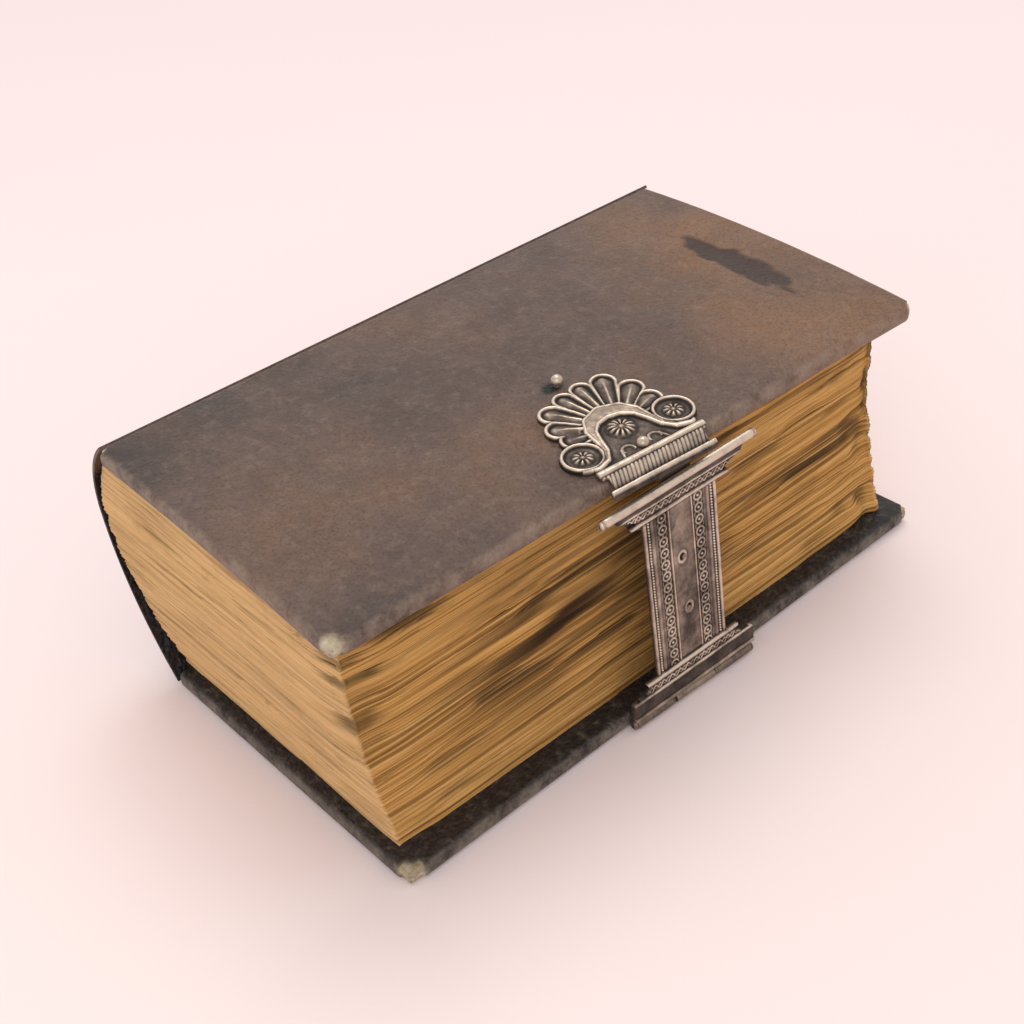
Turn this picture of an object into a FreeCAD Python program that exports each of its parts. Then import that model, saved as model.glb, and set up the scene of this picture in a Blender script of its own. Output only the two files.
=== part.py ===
import FreeCAD, Part
import math
import os

import Sketcher

# An old leather-bound church book, closed and lying on its back cover.
# +X runs from the spine to the fore edge, +Y from the tail to the head, +Z up.
# The origin is the middle of the back cover's outer face, on which the book rests.
# Lengths are in millimetres and angles in degrees.

SIZES = (
    # the two covers
    ("board_height", 170.0, "a cover from tail to head"),
    ("board_width", 92.0, "a cover from its joint to its fore edge"),
    ("core_gauge", 3.1, "pasteboard inside a cover"),
    ("leather_gauge", 0.8, "covering leather"),
    ("turn_in_gauge", 0.5, "leather pared thin where it is turned in"),
    ("turn_in_width", 13.0, "leather turned in over the inner face"),
    ("paste_gauge", 0.3, "paper pasted down inside a cover"),
    ("core_setback", 1.0, "from a joint's axis to the pasteboard"),
    ("corner_round", 2.2, "worn outer corners of a cover"),
    ("edge_round", 0.7, "leather drawn over the pasteboard's edges"),
    ("front_crown", 1.3, "how far the front cover arches across its width"),
    # how the front cover lies over the back one
    ("joint_rise", 69.8, "the front joint's axis above the rest face"),
    ("joint_slip", 1.9, "the front joint lies this far outside the back one"),
    ("joint_drop", 1.5, "the front cover is slipped this far to the tail"),
    ("cover_turn", 1.65, "the front cover turned about the upright"),
    ("cover_dip", 1.19, "the front cover's slope down to its fore edge"),
    ("cover_lift", 0.31, "the front cover's slope up to its head"),
    # the rounded spine
    ("apex_rise", 46.0, "the widest part of the spine above the rest face"),
    ("bulge_tail", 16.0, "spine beyond the back joint, at the tail"),
    ("bulge_head", 13.5, "spine beyond the back joint, at the head"),
    ("lining_gauge", 0.4, "paper lining between the spine leather and the pages"),
    ("glue_gauge", 0.15, "glue under the spine leather and under the lining"),
    ("lining_inset", 7.0, "the lining stops this far from the ends of the spine"),
    ("joint_gap", 0.45, "play between the leathers that meet at a joint"),
    ("cord_width", 1.5, "sewing cord"),
    ("cord_bury", 0.9, "depth of a cord's middle under the pages' backs"),
    ("cord_pitch", 34.0, "from one sewing cord to the next"),
    # the pages
    ("page_seat", 0.0, "room between the pages and the cover under them"),
    ("page_gap", 0.35, "room between the pages and the cover over them"),
    ("fore_square_tail", 7.4, "back cover beyond the pages, fore edge, tail end"),
    ("fore_square_head", 5.0, "back cover beyond the pages, fore edge, head end"),
    ("tail_square", 3.8, "back cover beyond the pages at the tail"),
    ("head_square", 6.5, "back cover beyond the pages at the head"),
    ("waist_rise", 30.0, "height at which the fore edge is hollowed most"),
    ("waist_hollow", 1.6, "hollow of the fore edge at the tail"),
    ("waist_hollow_head", 3.6, "hollow of the ragged fore edge at the head"),
    ("waist_lean", 3.4, "the tail face leans out this far at that height"),
    ("leaf_gap", 0.3, "gap between two bunches of leaves at the open edges"),
    ("leaf_gap_depth", 0.9, "depth of such a gap"),
    ("top_fore_square", 4.6, "front cover beyond the pages at the fore edge"),
    ("top_tail_square", 2.6, "front cover beyond the pages at the tail"),
    ("top_head_square", 5.6, "front cover beyond the pages at the head"),
    # the clasp's hinge and strap
    ("hinge_reach", 2.3, "the hinge's axis in front of the back cover's edge"),
    ("hinge_rise", 1.85, "the hinge's axis above the rest face"),
    ("hinge_shift", -1.0, "the clasp's middle from the book's, towards the head"),
    ("clasp_turn", 2.2, "the clasp turned about the upright"),
    ("strap_lean", 2.0, "the closed strap leans in by this angle"),
    ("strap_tilt", 1.3, "the strap tilts towards the tail by this angle"),
    ("knuckle_radius", 1.3, "outside of a hinge knuckle"),
    ("pin_radius", 0.6, "hinge pin"),
    ("pin_play", 0.05, "play round the hinge pin"),
    ("hinge_length", 39.0, "the three knuckles together"),
    ("knuckle_length", 12.4, "the middle knuckle"),
    ("knuckle_play", 0.25, "play beside the middle knuckle"),
    ("strap_gauge", 0.9, "sheet silver of the strap"),
    ("column_width", 21.8, "strap between cornice and base"),
    ("column_foot", 10.4, "foot of the column above the hinge's axis"),
    ("column_head", 53.6, "head of the column above the hinge's axis"),
    ("base_length", 38.2, "moulded base"),
    ("base_foot", 2.2, "lower edge of the base above the hinge's axis"),
    ("base_flare", 2.0, "how far the base stands out"),
    ("cornice_length", 36.8, "moulded cornice"),
    ("cornice_flare", 2.2, "how far the cornice stands out"),
    ("cornice_rise", 6.4, "grip bar above the head of the column"),
    ("grip_reach", 1.3, "grip bar in front of the strap's back"),
    ("grip_radius", 1.0, "grip bar"),
    ("grip_length", 45.8, "grip bar"),
    ("notch_radius", 3.8, "hollow cut in each end of cornice and base"),
    ("edge_strip", 0.8, "folded edge of the column"),
    ("bead_strip", 1.0, "moulding that carries the beads"),
    ("rosette_radius", 1.3, "small rosettes along the column"),
    ("rosette_pitch", 3.19, "from one rosette to the next"),
    ("rosette_inset", 5.45, "from the column's side to the rosettes' middle"),
    ("relief", 0.25, "height of the fine relief"),
    ("spring_gauge", 0.5, "catch spring behind the strap"),
    ("spring_width", 9.0, "catch spring"),
    ("spring_foot", 18.0, "lower end of the catch spring above the hinge's axis"),
    ("spring_hook", 1.1, "how far the catch spring's hook turns in"),
    ("hook_gap", 0.3, "play between the hook and the catch plate's lip"),
    ("strap_rivet_low", 24.0, "lower rivet of the catch spring"),
    ("strap_rivet_high", 38.7, "upper rivet of the catch spring"),
    ("strap_rivet_radius", 0.6, "rivets of the catch spring"),
    # the hinge plate let into the back cover
    ("anchor_gauge", 0.6, "hinge plate"),
    ("anchor_width", 28.0, "hinge plate"),
    ("anchor_depth", 20.0, "straight part of the hinge plate"),
    ("anchor_clear", 0.6, "hinge plate kept clear of the outer knuckles"),
    ("rivet_radius", 0.8, "shank of a rivet in a cover"),
    ("rivet_head", 1.5, "head of a rivet"),
    # the catch plate on the front cover
    ("plate_gauge", 0.6, "sheet silver of the catch plate"),
    ("fan_inset", 10.9, "the palmette's middle from the front cover's edge"),
    ("fan_shift", 0.9, "the palmette's middle, towards the tail"),
    ("plate_turn", 4.0, "the catch plate turned on the leather"),
    ("lobe_reach", 19.6, "tip of the palmette's crown lobe from its middle"),
    ("lobe_fall", 5.2, "how much shorter the lowest lobes are"),
    ("lobe_neck", 10.0, "where the lobes spring from"),
    ("lobe_half_width", 3.2, "a lobe at its widest"),
    ("lobe_step", 24.0, "angle from one lobe to the next"),
    ("lobe_height", 1.0, "raised rim of a lobe above the leather"),
    ("lobe_rim", 0.7, "width of that rim"),
    ("arch_outer", 9.3, "outer radius of the horseshoe arch"),
    ("arch_inner", 4.6, "inner radius of the horseshoe arch"),
    ("arch_height", 1.3, "horseshoe arch above the leather"),
    ("disc_radius", 5.0, "rosette disc"),
    ("disc_spread", 13.0, "rosette discs from the plate's middle line"),
    ("disc_offset", 2.8, "rosette discs in front of the palmette's middle"),
    ("rosette_boss", 0.8, "boss in the middle of a rosette"),
    ("petal_radius", 0.62, "petal of a rosette"),
    ("fillet_length", 28.6, "the two straight fillets"),
    ("lip_reach", 4.2, "the lip in front of the front cover's edge"),
    ("lip_fall", 2.7, "underside of the lip below the leather's face"),
    ("reed_pitch", 0.98, "reeds of the fluted band"),
    ("reed_width", 0.5, "a reed"),
    ("domed_rivet_reach", 7.2, "domed rivet in front of the palmette's middle"),
    ("crown_rivet_reach", 22.4, "proud rivet behind the palmette's middle"),
    ("crown_rivet_stand", 1.0, "the proud rivet stands this far out of its hole"),
    ("torn_hole", 1.9, "torn hole round the proud rivet"),
)

LEAF_GAPS = 7
LOBE_STEPS = (-3, -2, -1, 0, 1, 2, 3)
DISC_PETALS = 9
MIDDLE_PETALS = 12
REED_COUNT = 26
ROSETTE_COUNT = 13
SCROLL_COUNT = 11
BOSS_SIDES = 8
PETAL_SIDES = 5
CORD_PLACES = (-1.5, -0.5, 0.5, 1.5)
SOLID_SLACK = 1e-6

doc = FreeCAD.newDocument("ClaspedBook")
sheet = doc.addObject("Spreadsheet::Sheet", "Sizes")


class Size:
    """A number together with the expression that ties it to the sheet."""

    def __init__(self, text, value):
        self.text = text
        self.value = value

    @staticmethod
    def of(other):
        if isinstance(other, Size):
            return other
        return Size(f"({float(other)!r})", float(other))

    def __add__(self, other):
        other = Size.of(other)
        return Size(f"({self.text} + {other.text})", self.value + other.value)

    def __radd__(self, other):
        return Size.of(other) + self

    def __sub__(self, other):
        other = Size.of(other)
        return Size(f"({self.text} - {other.text})", self.value - other.value)

    def __rsub__(self, other):
        return Size.of(other) - self

    def __mul__(self, other):
        other = Size.of(other)
        return Size(f"({self.text} * {other.text})", self.value * other.value)

    def __rmul__(self, other):
        return Size.of(other) * self

    def __truediv__(self, other):
        other = Size.of(other)
        return Size(f"({self.text} / {other.text})", self.value / other.value)

    def __neg__(self):
        return Size.of(0) - self


def root(size):
    return Size(f"sqrt({size.text})", math.sqrt(size.value))


def sine(angle):
    angle = Size.of(angle)
    return Size(f"sin({angle.text})", math.sin(math.radians(angle.value)))


def cosine(angle):
    angle = Size.of(angle)
    return Size(f"cos({angle.text})", math.cos(math.radians(angle.value)))


def write_sheet():
    for row, (name, value, meaning) in enumerate(SIZES, start=1):
        sheet.set(f"A{row}", name)
        sheet.set(f"B{row}", str(value))
        sheet.set(f"C{row}", meaning)
        sheet.setAlias(f"B{row}", name)
    doc.recompute()


write_sheet()
S = {name: Size(f"Sizes.{name}", float(sheet.get(name))) for name, _, _ in SIZES}


def tie(item, **sizes):
    """Gives an object's sizes their values and ties them to the sheet."""
    for name, size in sizes.items():
        size = Size.of(size)
        setattr(item, name, size.value)
        item.setExpression(name, size.text)


# Sketches and the features made from them

PLANES = {"XY": "XY_Plane", "XZ": "XZ_Plane", "YZ": "YZ_Plane"}


def new_body(name):
    body = doc.addObject("PartDesign::Body", name)
    body.Label = name
    return body


def new_sketch(body, name, plane, offset=0):
    """A sketch on one of the body's own planes, moved along the plane's normal."""
    sketch = body.newObject("Sketcher::SketchObject", name)
    support = next(f for f in body.Origin.OriginFeatures if f.Role == PLANES[plane])
    sketch.AttachmentSupport = (support, [""])
    sketch.MapMode = "FlatFace"
    offset = Size.of(offset)
    if offset.value:
        place = FreeCAD.Vector(0, 0, offset.value)
        sketch.AttachmentOffset = FreeCAD.Placement(place, FreeCAD.Rotation())
        sketch.setExpression("AttachmentOffset.Base.z", offset.text)
    return sketch


def constrain(sketch, *rule, size):
    size = Size.of(size)
    index = sketch.addConstraint(Sketcher.Constraint(*rule, size.value))
    sketch.setExpression(f"Constraints[{index}]", size.text)


def arc_between(start, end, radius, side):
    """The short arc from start to end whose centre is left (1) or right (-1) of the way."""
    chord = end - start
    half = chord.Length / 2
    left = FreeCAD.Vector(-chord.y, chord.x, 0).normalize()
    height = math.sqrt(max(radius * radius - half * half, 0))
    centre = (start + end) / 2 + left * (side * height)
    first, last = (start, end) if side > 0 else (end, start)
    angle_1 = math.atan2(first.y - centre.y, first.x - centre.x)
    angle_2 = math.atan2(last.y - centre.y, last.x - centre.x)
    circle = Part.Circle(centre, FreeCAD.Vector(0, 0, 1), radius)
    return Part.ArcOfCircle(circle, angle_1, angle_2)


def outline(sketch, corners):
    """Draws a closed outline. A corner is (x, y), or (x, y, radius, side) before an arc."""
    points = [(Size.of(c[0]), Size.of(c[1])) for c in corners]
    places = [FreeCAD.Vector(x.value, y.value, 0) for x, y in points]
    edges = []
    for index, corner in enumerate(corners):
        start = places[index]
        end = places[(index + 1) % len(places)]
        if len(corner) > 2:
            radius = Size.of(corner[2])
            geometry = arc_between(start, end, radius.value, corner[3])
            edge = sketch.addGeometry(geometry, False)
            constrain(sketch, "Radius", edge, size=radius)
            ends = (1, 2) if corner[3] > 0 else (2, 1)
        else:
            edge = sketch.addGeometry(Part.LineSegment(start, end), False)
            ends = (1, 2)
        edges.append((edge, ends))
    for index, (edge, ends) in enumerate(edges):
        before, before_ends = edges[index - 1]
        joint = Sketcher.Constraint("Coincident", before, before_ends[1], edge, ends[0])
        sketch.addConstraint(joint)
        constrain(sketch, "DistanceX", -1, 1, edge, ends[0], size=points[index][0])
        constrain(sketch, "DistanceY", -1, 1, edge, ends[0], size=points[index][1])


def circle(sketch, x, y, radius):
    x, y, radius = Size.of(x), Size.of(y), Size.of(radius)
    centre = FreeCAD.Vector(x.value, y.value, 0)
    shape = Part.Circle(centre, FreeCAD.Vector(0, 0, 1), radius.value)
    edge = sketch.addGeometry(shape, False)
    constrain(sketch, "Radius", edge, size=radius)
    constrain(sketch, "DistanceX", -1, 1, edge, 3, size=x)
    constrain(sketch, "DistanceY", -1, 1, edge, 3, size=y)


def polygon(sketch, x, y, radius, sides):
    """A regular boss with few faces, for what repeats many times."""
    corners = []
    for index in range(sides):
        angle = 360.0 * (index + 0.5) / sides
        corners.append((x + radius * cosine(angle), y + radius * sine(angle)))
    outline(sketch, corners)


def box_corners(x1, y1, x2, y2):
    return ((x1, y1), (x2, y1), (x2, y2), (x1, y2))


def pad(body, sketch, length, both_ways=False, backwards=False):
    feature = body.newObject("PartDesign::Pad", f"{sketch.Name}_pad")
    feature.Profile = sketch
    tie(feature, Length=length)
    if both_ways:
        feature.SideType = "Symmetric"
    feature.Reversed = backwards
    sketch.Visibility = False
    return feature


def pocket(body, sketch, length, both_ways=False, backwards=False):
    before = body_volume(body)
    feature = body.newObject("PartDesign::Pocket", f"{sketch.Name}_pocket")
    feature.Profile = sketch
    tie(feature, Length=length)
    if both_ways:
        feature.SideType = "Symmetric"
    feature.Reversed = backwards
    if body_volume(body) >= before - SOLID_SLACK:
        raise RuntimeError(f"{feature.Name} cuts nothing")
    return feature


def body_volume(body):
    doc.recompute()
    return body.Shape.Volume


def repeat(body, feature, axis_role, span, count):
    """A row of copies along one of the body's axes, from the feature onwards."""
    pattern = body.newObject("PartDesign::LinearPattern", f"{feature.Name}_row")
    pattern.Originals = [feature]
    axis = next(f for f in body.Origin.OriginFeatures if f.Role == axis_role)
    pattern.Direction = (axis, [""])
    tie(pattern, Length=span)
    pattern.Occurrences = count
    body.Tip = pattern
    return pattern


def loft(body, sections, ruled=True):
    feature = body.newObject("PartDesign::AdditiveLoft", f"{body.Name}_loft")
    feature.Profile = sections[0]
    feature.Sections = sections[1:]
    feature.Ruled = ruled
    return feature


def cut(name, base, tool):
    feature = doc.addObject("Part::Cut", name)
    feature.Base = base
    feature.Tool = tool
    feature.Label = name
    return feature


def common(name, base, tool):
    feature = doc.addObject("Part::Common", name)
    feature.Base = base
    feature.Tool = tool
    feature.Label = name
    return feature


def together(name, *items):
    feature = doc.addObject("Part::Compound", name)
    feature.Links = list(items)
    feature.Label = name
    return feature


def fused(name, *items):
    feature = doc.addObject("Part::MultiFuse", name)
    feature.Shapes = list(items)
    feature.Label = name
    return feature


def rod(name, radius, length, place):
    """A round bar whose middle line is Z before it is placed."""
    bar = doc.addObject("Part::Cylinder", name)
    tie(bar, Radius=radius, Height=length)
    bar.Placement = place
    return bar


# Where each group of pieces lies

def frame(x, y, z, turn=0.0, dip=0.0, lift=0.0):
    place = FreeCAD.Vector(x.value, y.value, z.value)
    return FreeCAD.Placement(place, FreeCAD.Rotation(turn, dip, lift))


HALF_LEATHER = S["leather_gauge"] / 2
COVER_GAUGE = S["leather_gauge"] + S["core_gauge"] + S["turn_in_gauge"]
BACK_JOINT_X = -S["board_width"] / 2
FRONT_JOINT_X = BACK_JOINT_X - S["joint_slip"]
HALF_TURN = 180.0

BACK_FRAME = frame(BACK_JOINT_X, Size.of(0), HALF_LEATHER, lift=HALF_TURN)
FRONT_FRAME = frame(
    FRONT_JOINT_X,
    -S["joint_drop"],
    S["joint_rise"],
    -S["cover_turn"].value,
    S["cover_dip"].value,
    S["cover_lift"].value,
)
HINGE_X = S["board_width"] / 2 + S["hinge_reach"]
ANCHOR_FRAME = frame(HINGE_X, S["hinge_shift"], S["hinge_rise"], -S["clasp_turn"].value)
STRAP_FRAME = frame(
    HINGE_X,
    S["hinge_shift"],
    S["hinge_rise"],
    -S["clasp_turn"].value,
    -S["strap_lean"].value,
    S["strap_tilt"].value,
)
KNUCKLE_FRAME = frame(
    HINGE_X,
    S["hinge_shift"],
    S["hinge_rise"],
    -S["clasp_turn"].value,
    -S["strap_lean"].value,
)


def joint_x(y):
    """Where the front joint's axis crosses the plane at y, seen from above."""
    slope = sine(S["cover_turn"]) / cosine(S["cover_turn"])
    return FRONT_JOINT_X + (S["joint_drop"] + y) * slope


def joint_z(y):
    slope = sine(S["cover_lift"]) / cosine(S["cover_lift"])
    return S["joint_rise"] + (S["joint_drop"] + y) * slope


# The covers. Each is drawn with its joint's axis at the origin, its outer face
# up and its fore edge towards +X, so the back one is the front one turned over.

def arch(crown):
    """The outer face's line across a cover: its rise at x, and its radius."""
    half = S["board_width"] / 2
    if crown is None:
        return (lambda x: Size.of(0)), None
    radius = (half * half + crown * crown) / (2 * crown)

    def rise(x):
        across = Size.of(x) - half
        return root(radius * radius - across * across) - radius + crown

    return rise, radius


def slab_corners(x1, x2, upper, lower, crown):
    """A strip across a cover between two depths, arched with the cover."""
    rise, radius = arch(crown)
    bend_back = () if radius is None else (radius, 1)
    bend_on = () if radius is None else (radius, -1)
    return (
        (x1, upper + rise(x1), *bend_on),
        (x2, upper + rise(x2)),
        (x2, lower + rise(x2), *bend_back),
        (x1, lower + rise(x1)),
    )


CORE_TOP = -HALF_LEATHER
CORE_FLOOR = -HALF_LEATHER - S["core_gauge"]
COVER_FLOOR = HALF_LEATHER - COVER_GAUGE
CORE_END = S["board_width"] - S["leather_gauge"]
WINDOW_END = S["board_width"] - S["turn_in_width"]
CORE_HEIGHT = S["board_height"] - 2 * S["leather_gauge"]
WINDOW_HEIGHT = S["board_height"] - 2 * S["turn_in_width"]
OVERCUT = 1.0


def rounded_corners(body, name):
    """Cuts the cover's two outer corners round."""
    sketch = new_sketch(body, f"{name}_corners", "XY")
    radius = S["corner_round"]
    width = S["board_width"]
    for side in (-1, 1):
        reach = S["board_height"] / 2 * side
        outline(
            sketch,
            (
                (width - radius, reach, radius, -side),
                (width, reach - radius * side),
                (width + OVERCUT, reach - radius * side),
                (width + OVERCUT, reach + OVERCUT * side),
                (width - radius, reach + OVERCUT * side),
            ),
        )
    pocket(body, sketch, 4 * COVER_GAUGE, both_ways=True)


def leather_cover(name, crown, place):
    """Leather drawn over a board: outer face, edges and turn-ins in one piece."""
    body = new_body(name)
    rise, radius = arch(crown)
    bend_back = () if radius is None else (radius, 1)
    bend_on = () if radius is None else (radius, -1)
    setback = S["core_setback"]
    width = S["board_width"]
    half = HALF_LEATHER
    drawn = width - S["edge_round"]
    section = new_sketch(body, f"{name}_section", "XZ")
    outline(
        section,
        (
            (0, half + rise(0), *bend_on),
            (drawn, half + rise(drawn), S["edge_round"], -1),
            (width, half - S["edge_round"]),
            (width, COVER_FLOOR + rise(width), *bend_back),
            (setback, COVER_FLOOR + rise(setback)),
            (setback, rise(setback) - half, *bend_back),
            (0, rise(0) - half, half, -1),
            (-half, 0, half, -1),
        ),
    )
    pad(body, section, S["board_height"], both_ways=True)
    rounded_corners(body, name)
    core = new_sketch(body, f"{name}_core_space", "XZ")
    start = setback - OVERCUT
    outline(core, slab_corners(start, CORE_END, CORE_TOP, CORE_FLOOR, crown))
    pocket(body, core, CORE_HEIGHT, both_ways=True)
    window = new_sketch(body, f"{name}_window", "XZ")
    floor = COVER_FLOOR - OVERCUT
    outline(window, slab_corners(start, WINDOW_END, CORE_FLOOR, floor, crown))
    pocket(body, window, WINDOW_HEIGHT, both_ways=True)
    body.Placement = place
    return body


def board_core(name, crown, place):
    body = new_body(name)
    section = new_sketch(body, f"{name}_section", "XZ")
    corners = slab_corners(S["core_setback"], CORE_END, CORE_TOP, CORE_FLOOR, crown)
    outline(section, corners)
    pad(body, section, CORE_HEIGHT, both_ways=True)
    body.Placement = place
    return body


def pastedown(name, crown, place):
    body = new_body(name)
    section = new_sketch(body, f"{name}_section", "XZ")
    floor = CORE_FLOOR - S["paste_gauge"]
    corners = slab_corners(S["core_setback"], WINDOW_END, CORE_FLOOR, floor, crown)
    outline(section, corners)
    pad(body, section, WINDOW_HEIGHT, both_ways=True)
    body.Placement = place
    return body


# The spine: leather, lining and the backs of the pages share two arcs that
# meet at the widest place. They are drawn at the tail and head and ruled between.

class SpineSection:
    """The line of the joints and the spine's two arcs in the plane at y."""

    def __init__(self, y, bulge, stop_short=0):
        self.stop_short = Size.of(stop_short)
        self.apex_x = BACK_JOINT_X - bulge
        self.apex_z = S["apex_rise"]
        self.top = (joint_x(y), joint_z(y))
        self.foot = (BACK_JOINT_X, HALF_LEATHER)
        self.radius_top = self.radius_to(self.top)
        self.radius_foot = self.radius_to(self.foot)

    def radius_to(self, end):
        across = end[0] - self.apex_x
        along = end[1] - self.apex_z
        return (across * across + along * along) / (2 * across)

    def end_point(self, end, radius, inset):
        """The point on the inset arc that is square in from where the spine stops."""
        share = (radius - inset) / radius
        centre = self.apex_x + radius
        across = end[0] - centre
        along = end[1] - self.apex_z
        way = 1 if along.value > 0 else -1
        turned = self.stop_short / radius * (HALF_TURN / math.pi) * way
        return (
            centre + (across * cosine(turned) - along * sine(turned)) * share,
            self.apex_z + (along * cosine(turned) + across * sine(turned)) * share,
        )

    def at_height(self, z, inset):
        """The point on the inset spine line at height z."""
        radius = self.radius_top if Size.of(z).value > self.apex_z.value else self.radius_foot
        reach = radius - inset
        rise = Size.of(z) - self.apex_z
        return self.apex_x + radius - root(reach * reach - rise * rise), Size.of(z)

    def line(self, inset, top=None, foot=None):
        """Corners from the top end over the apex to the foot, with arcs between."""
        start = top or self.end_point(self.top, self.radius_top, inset)
        stop = foot or self.end_point(self.foot, self.radius_foot, inset)
        return (
            (*start, self.radius_top - inset, 1),
            (self.apex_x + inset, self.apex_z, self.radius_foot - inset, 1),
            stop,
        )

    def back(self, inset, top=None, foot=None):
        """The same corners from the foot up to the top end."""
        start, middle, stop = self.line(inset, top, foot)
        return (
            (stop[0], stop[1], middle[2], -1),
            (middle[0], middle[1], start[2], -1),
            (start[0], start[1]),
        )


def bulge_at(y):
    share = y / S["board_height"] + 0.5
    return S["bulge_tail"] + (S["bulge_head"] - S["bulge_tail"]) * share


def spine_ends(body, reach, corners_at, stop_short=0):
    """Two sections, near tail and head, of a piece that follows the spine."""
    sketches = []
    for name, y in (("tail", -reach), ("head", reach)):
        sketch = new_sketch(body, f"{body.Name}_{name}", "XZ", offset=-y)
        outline(sketch, corners_at(SpineSection(y, bulge_at(y), stop_short)))
        sketches.append(sketch)
    loft(body, sketches)


def spine_leather():
    body = new_body("spine_leather")
    half = HALF_LEATHER
    reach = S["board_height"] / 2
    play = half + S["joint_gap"]
    spine_ends(body, reach, lambda s: (*s.line(-half), *s.back(half)), play)
    return body


LINING_FACE = HALF_LEATHER + S["glue_gauge"]
LINING_BACK = LINING_FACE + S["lining_gauge"]
PAGE_BACK = LINING_BACK + S["glue_gauge"]


def spine_lining():
    body = new_body("spine_lining")
    outer = LINING_FACE
    inner = LINING_BACK
    inset = S["lining_inset"]
    reach = S["board_height"] / 2 - S["tail_square"] - inset

    def corners(section):
        top = section.top[1] - inset
        foot = section.foot[1] + inset
        return (
            *section.line(outer, section.at_height(top, outer), section.at_height(foot, outer)),
            *section.back(inner, section.at_height(top, inner), section.at_height(foot, inner)),
        )

    spine_ends(body, reach, corners)
    return body


# The pages, one solid: rounded backs, a hollowed fore edge and leaning ends,
# cut off under the front cover with the same slope and arch as the cover.

PAGE_FLOOR = COVER_GAUGE + S["page_seat"]
STOCK_TOP = S["joint_rise"] + 20.0
STOCK_REACH = S["board_height"] / 2 + 20.0
FORE_STOCK = S["board_width"]


def page_stock():
    """A block with the spine's section, larger than the pages everywhere else."""
    body = new_body("page_stock")

    def corners(section):
        top = section.end_point(section.top, section.radius_top, PAGE_BACK)
        foot = section.at_height(PAGE_FLOOR, PAGE_BACK)
        return (
            *section.line(PAGE_BACK, top, foot),
            (FORE_STOCK, PAGE_FLOOR),
            (FORE_STOCK, STOCK_TOP),
            (top[0], STOCK_TOP),
        )

    spine_ends(body, STOCK_REACH, corners)
    return body


def leaf_gaps():
    """Thin gaps that part the leaves into bunches at the open edges."""
    body = new_body("leaf_gaps")
    reach = S["board_height"]
    step = (S["joint_rise"] - COVER_GAUGE - PAGE_FLOOR) / (LEAF_GAPS + 1)
    sketch = new_sketch(body, "leaf_gap", "XZ")
    start = BACK_JOINT_X
    foot = PAGE_FLOOR + step
    outline(sketch, box_corners(start, foot, FORE_STOCK, foot + S["leaf_gap"]))
    first = pad(body, sketch, 2 * reach, both_ways=True)
    repeat(body, first, "Z_Axis", step * (LEAF_GAPS - 1), LEAF_GAPS)
    return cut("leaf_gap_rims", body, page_envelope("page_core", S["leaf_gap_depth"]))


def cover_point(x, y):
    """A point of the front cover's own plane, seen from above."""
    turn = S["cover_turn"]
    return (
        FRONT_JOINT_X + x * cosine(turn) + y * sine(turn),
        -S["joint_drop"] + y * cosine(turn) - x * sine(turn),
    )


def page_envelope(name, inset=0):
    """Fore edge, tail and head of the pages, through three heights."""
    body = new_body(name)
    half = S["board_height"] / 2
    fore = S["board_width"] / 2
    back = -S["board_width"]
    foot_tail = (fore - S["fore_square_tail"], -half + S["tail_square"])
    foot_head = (fore - S["fore_square_head"], half - S["head_square"])
    lean = S["waist_lean"]
    waist_tail = (foot_tail[0] - S["waist_hollow"], foot_tail[1] - lean)
    waist_head = (foot_head[0] - S["waist_hollow_head"], foot_head[1] - lean / 2)
    top_fore = S["board_width"] - S["top_fore_square"]
    top_tail = cover_point(top_fore, -half + S["top_tail_square"])
    top_head = cover_point(top_fore, half - S["top_head_square"])
    back_tail = cover_point(Size.of(0), -half + S["top_tail_square"])
    back_head = cover_point(Size.of(0), half - S["top_head_square"])
    levels = (
        (PAGE_FLOOR, foot_tail, foot_head, foot_tail[1], foot_head[1]),
        (S["waist_rise"], waist_tail, waist_head, waist_tail[1] + lean / 3, waist_head[1]),
        (STOCK_TOP, top_tail, top_head, back_tail[1], back_head[1]),
    )
    sketches = []
    for index, (height, tail, head, tail_y, head_y) in enumerate(levels):
        sketch = new_sketch(body, f"{name}_level_{index}", "XY", offset=height)
        outline(
            sketch,
            (
                (back, tail_y + inset),
                (tail[0] - inset, tail[1] + inset),
                (head[0] - inset, head[1] - inset),
                (back, head_y - inset),
            ),
        )
        sketches.append(sketch)
    loft(body, sketches, ruled=False)
    return body


def cover_space():
    """The room under the front cover that the pages keep clear of."""
    body = new_body("cover_space")
    section = new_sketch(body, "cover_space_section", "XZ")
    floor = COVER_FLOOR - S["page_gap"]
    crown = S["front_crown"]
    reach = S["board_width"] * 1.5
    _, radius = arch(crown)
    rise, _ = arch(crown)
    past = -S["board_width"] / 2
    outline(
        section,
        (
            (past, STOCK_TOP),
            (past, floor + rise(past), radius, -1),
            (reach, floor + rise(reach)),
            (reach, STOCK_TOP),
        ),
    )
    pad(body, section, 2 * S["board_height"], both_ways=True)
    body.Placement = FRONT_FRAME
    return body


def sewing_cord(index, place):
    """A cord sunk in the pages' backs, bent to the spine's two arcs."""
    body = new_body(f"sewing_cord_{index}")
    y = S["cord_pitch"] * place
    section = SpineSection(y, bulge_at(y))
    outer = PAGE_BACK + S["cord_bury"] - S["cord_width"] / 2
    inner = outer + S["cord_width"]
    inset = S["lining_inset"]
    top = section.top[1] - 2 * inset
    foot = section.foot[1] + 2 * inset
    sketch = new_sketch(body, f"sewing_cord_{index}_line", "XZ", offset=-y)
    outline(
        sketch,
        (
            *section.line(outer, section.at_height(top, outer), section.at_height(foot, outer)),
            *section.back(inner, section.at_height(top, inner), section.at_height(foot, inner)),
        ),
    )
    pad(body, sketch, S["cord_width"], both_ways=True)
    return body


# The clasp. Its pieces are drawn with the hinge's axis as the Y axis, the
# strap upright and its outer face towards +X.

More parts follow.
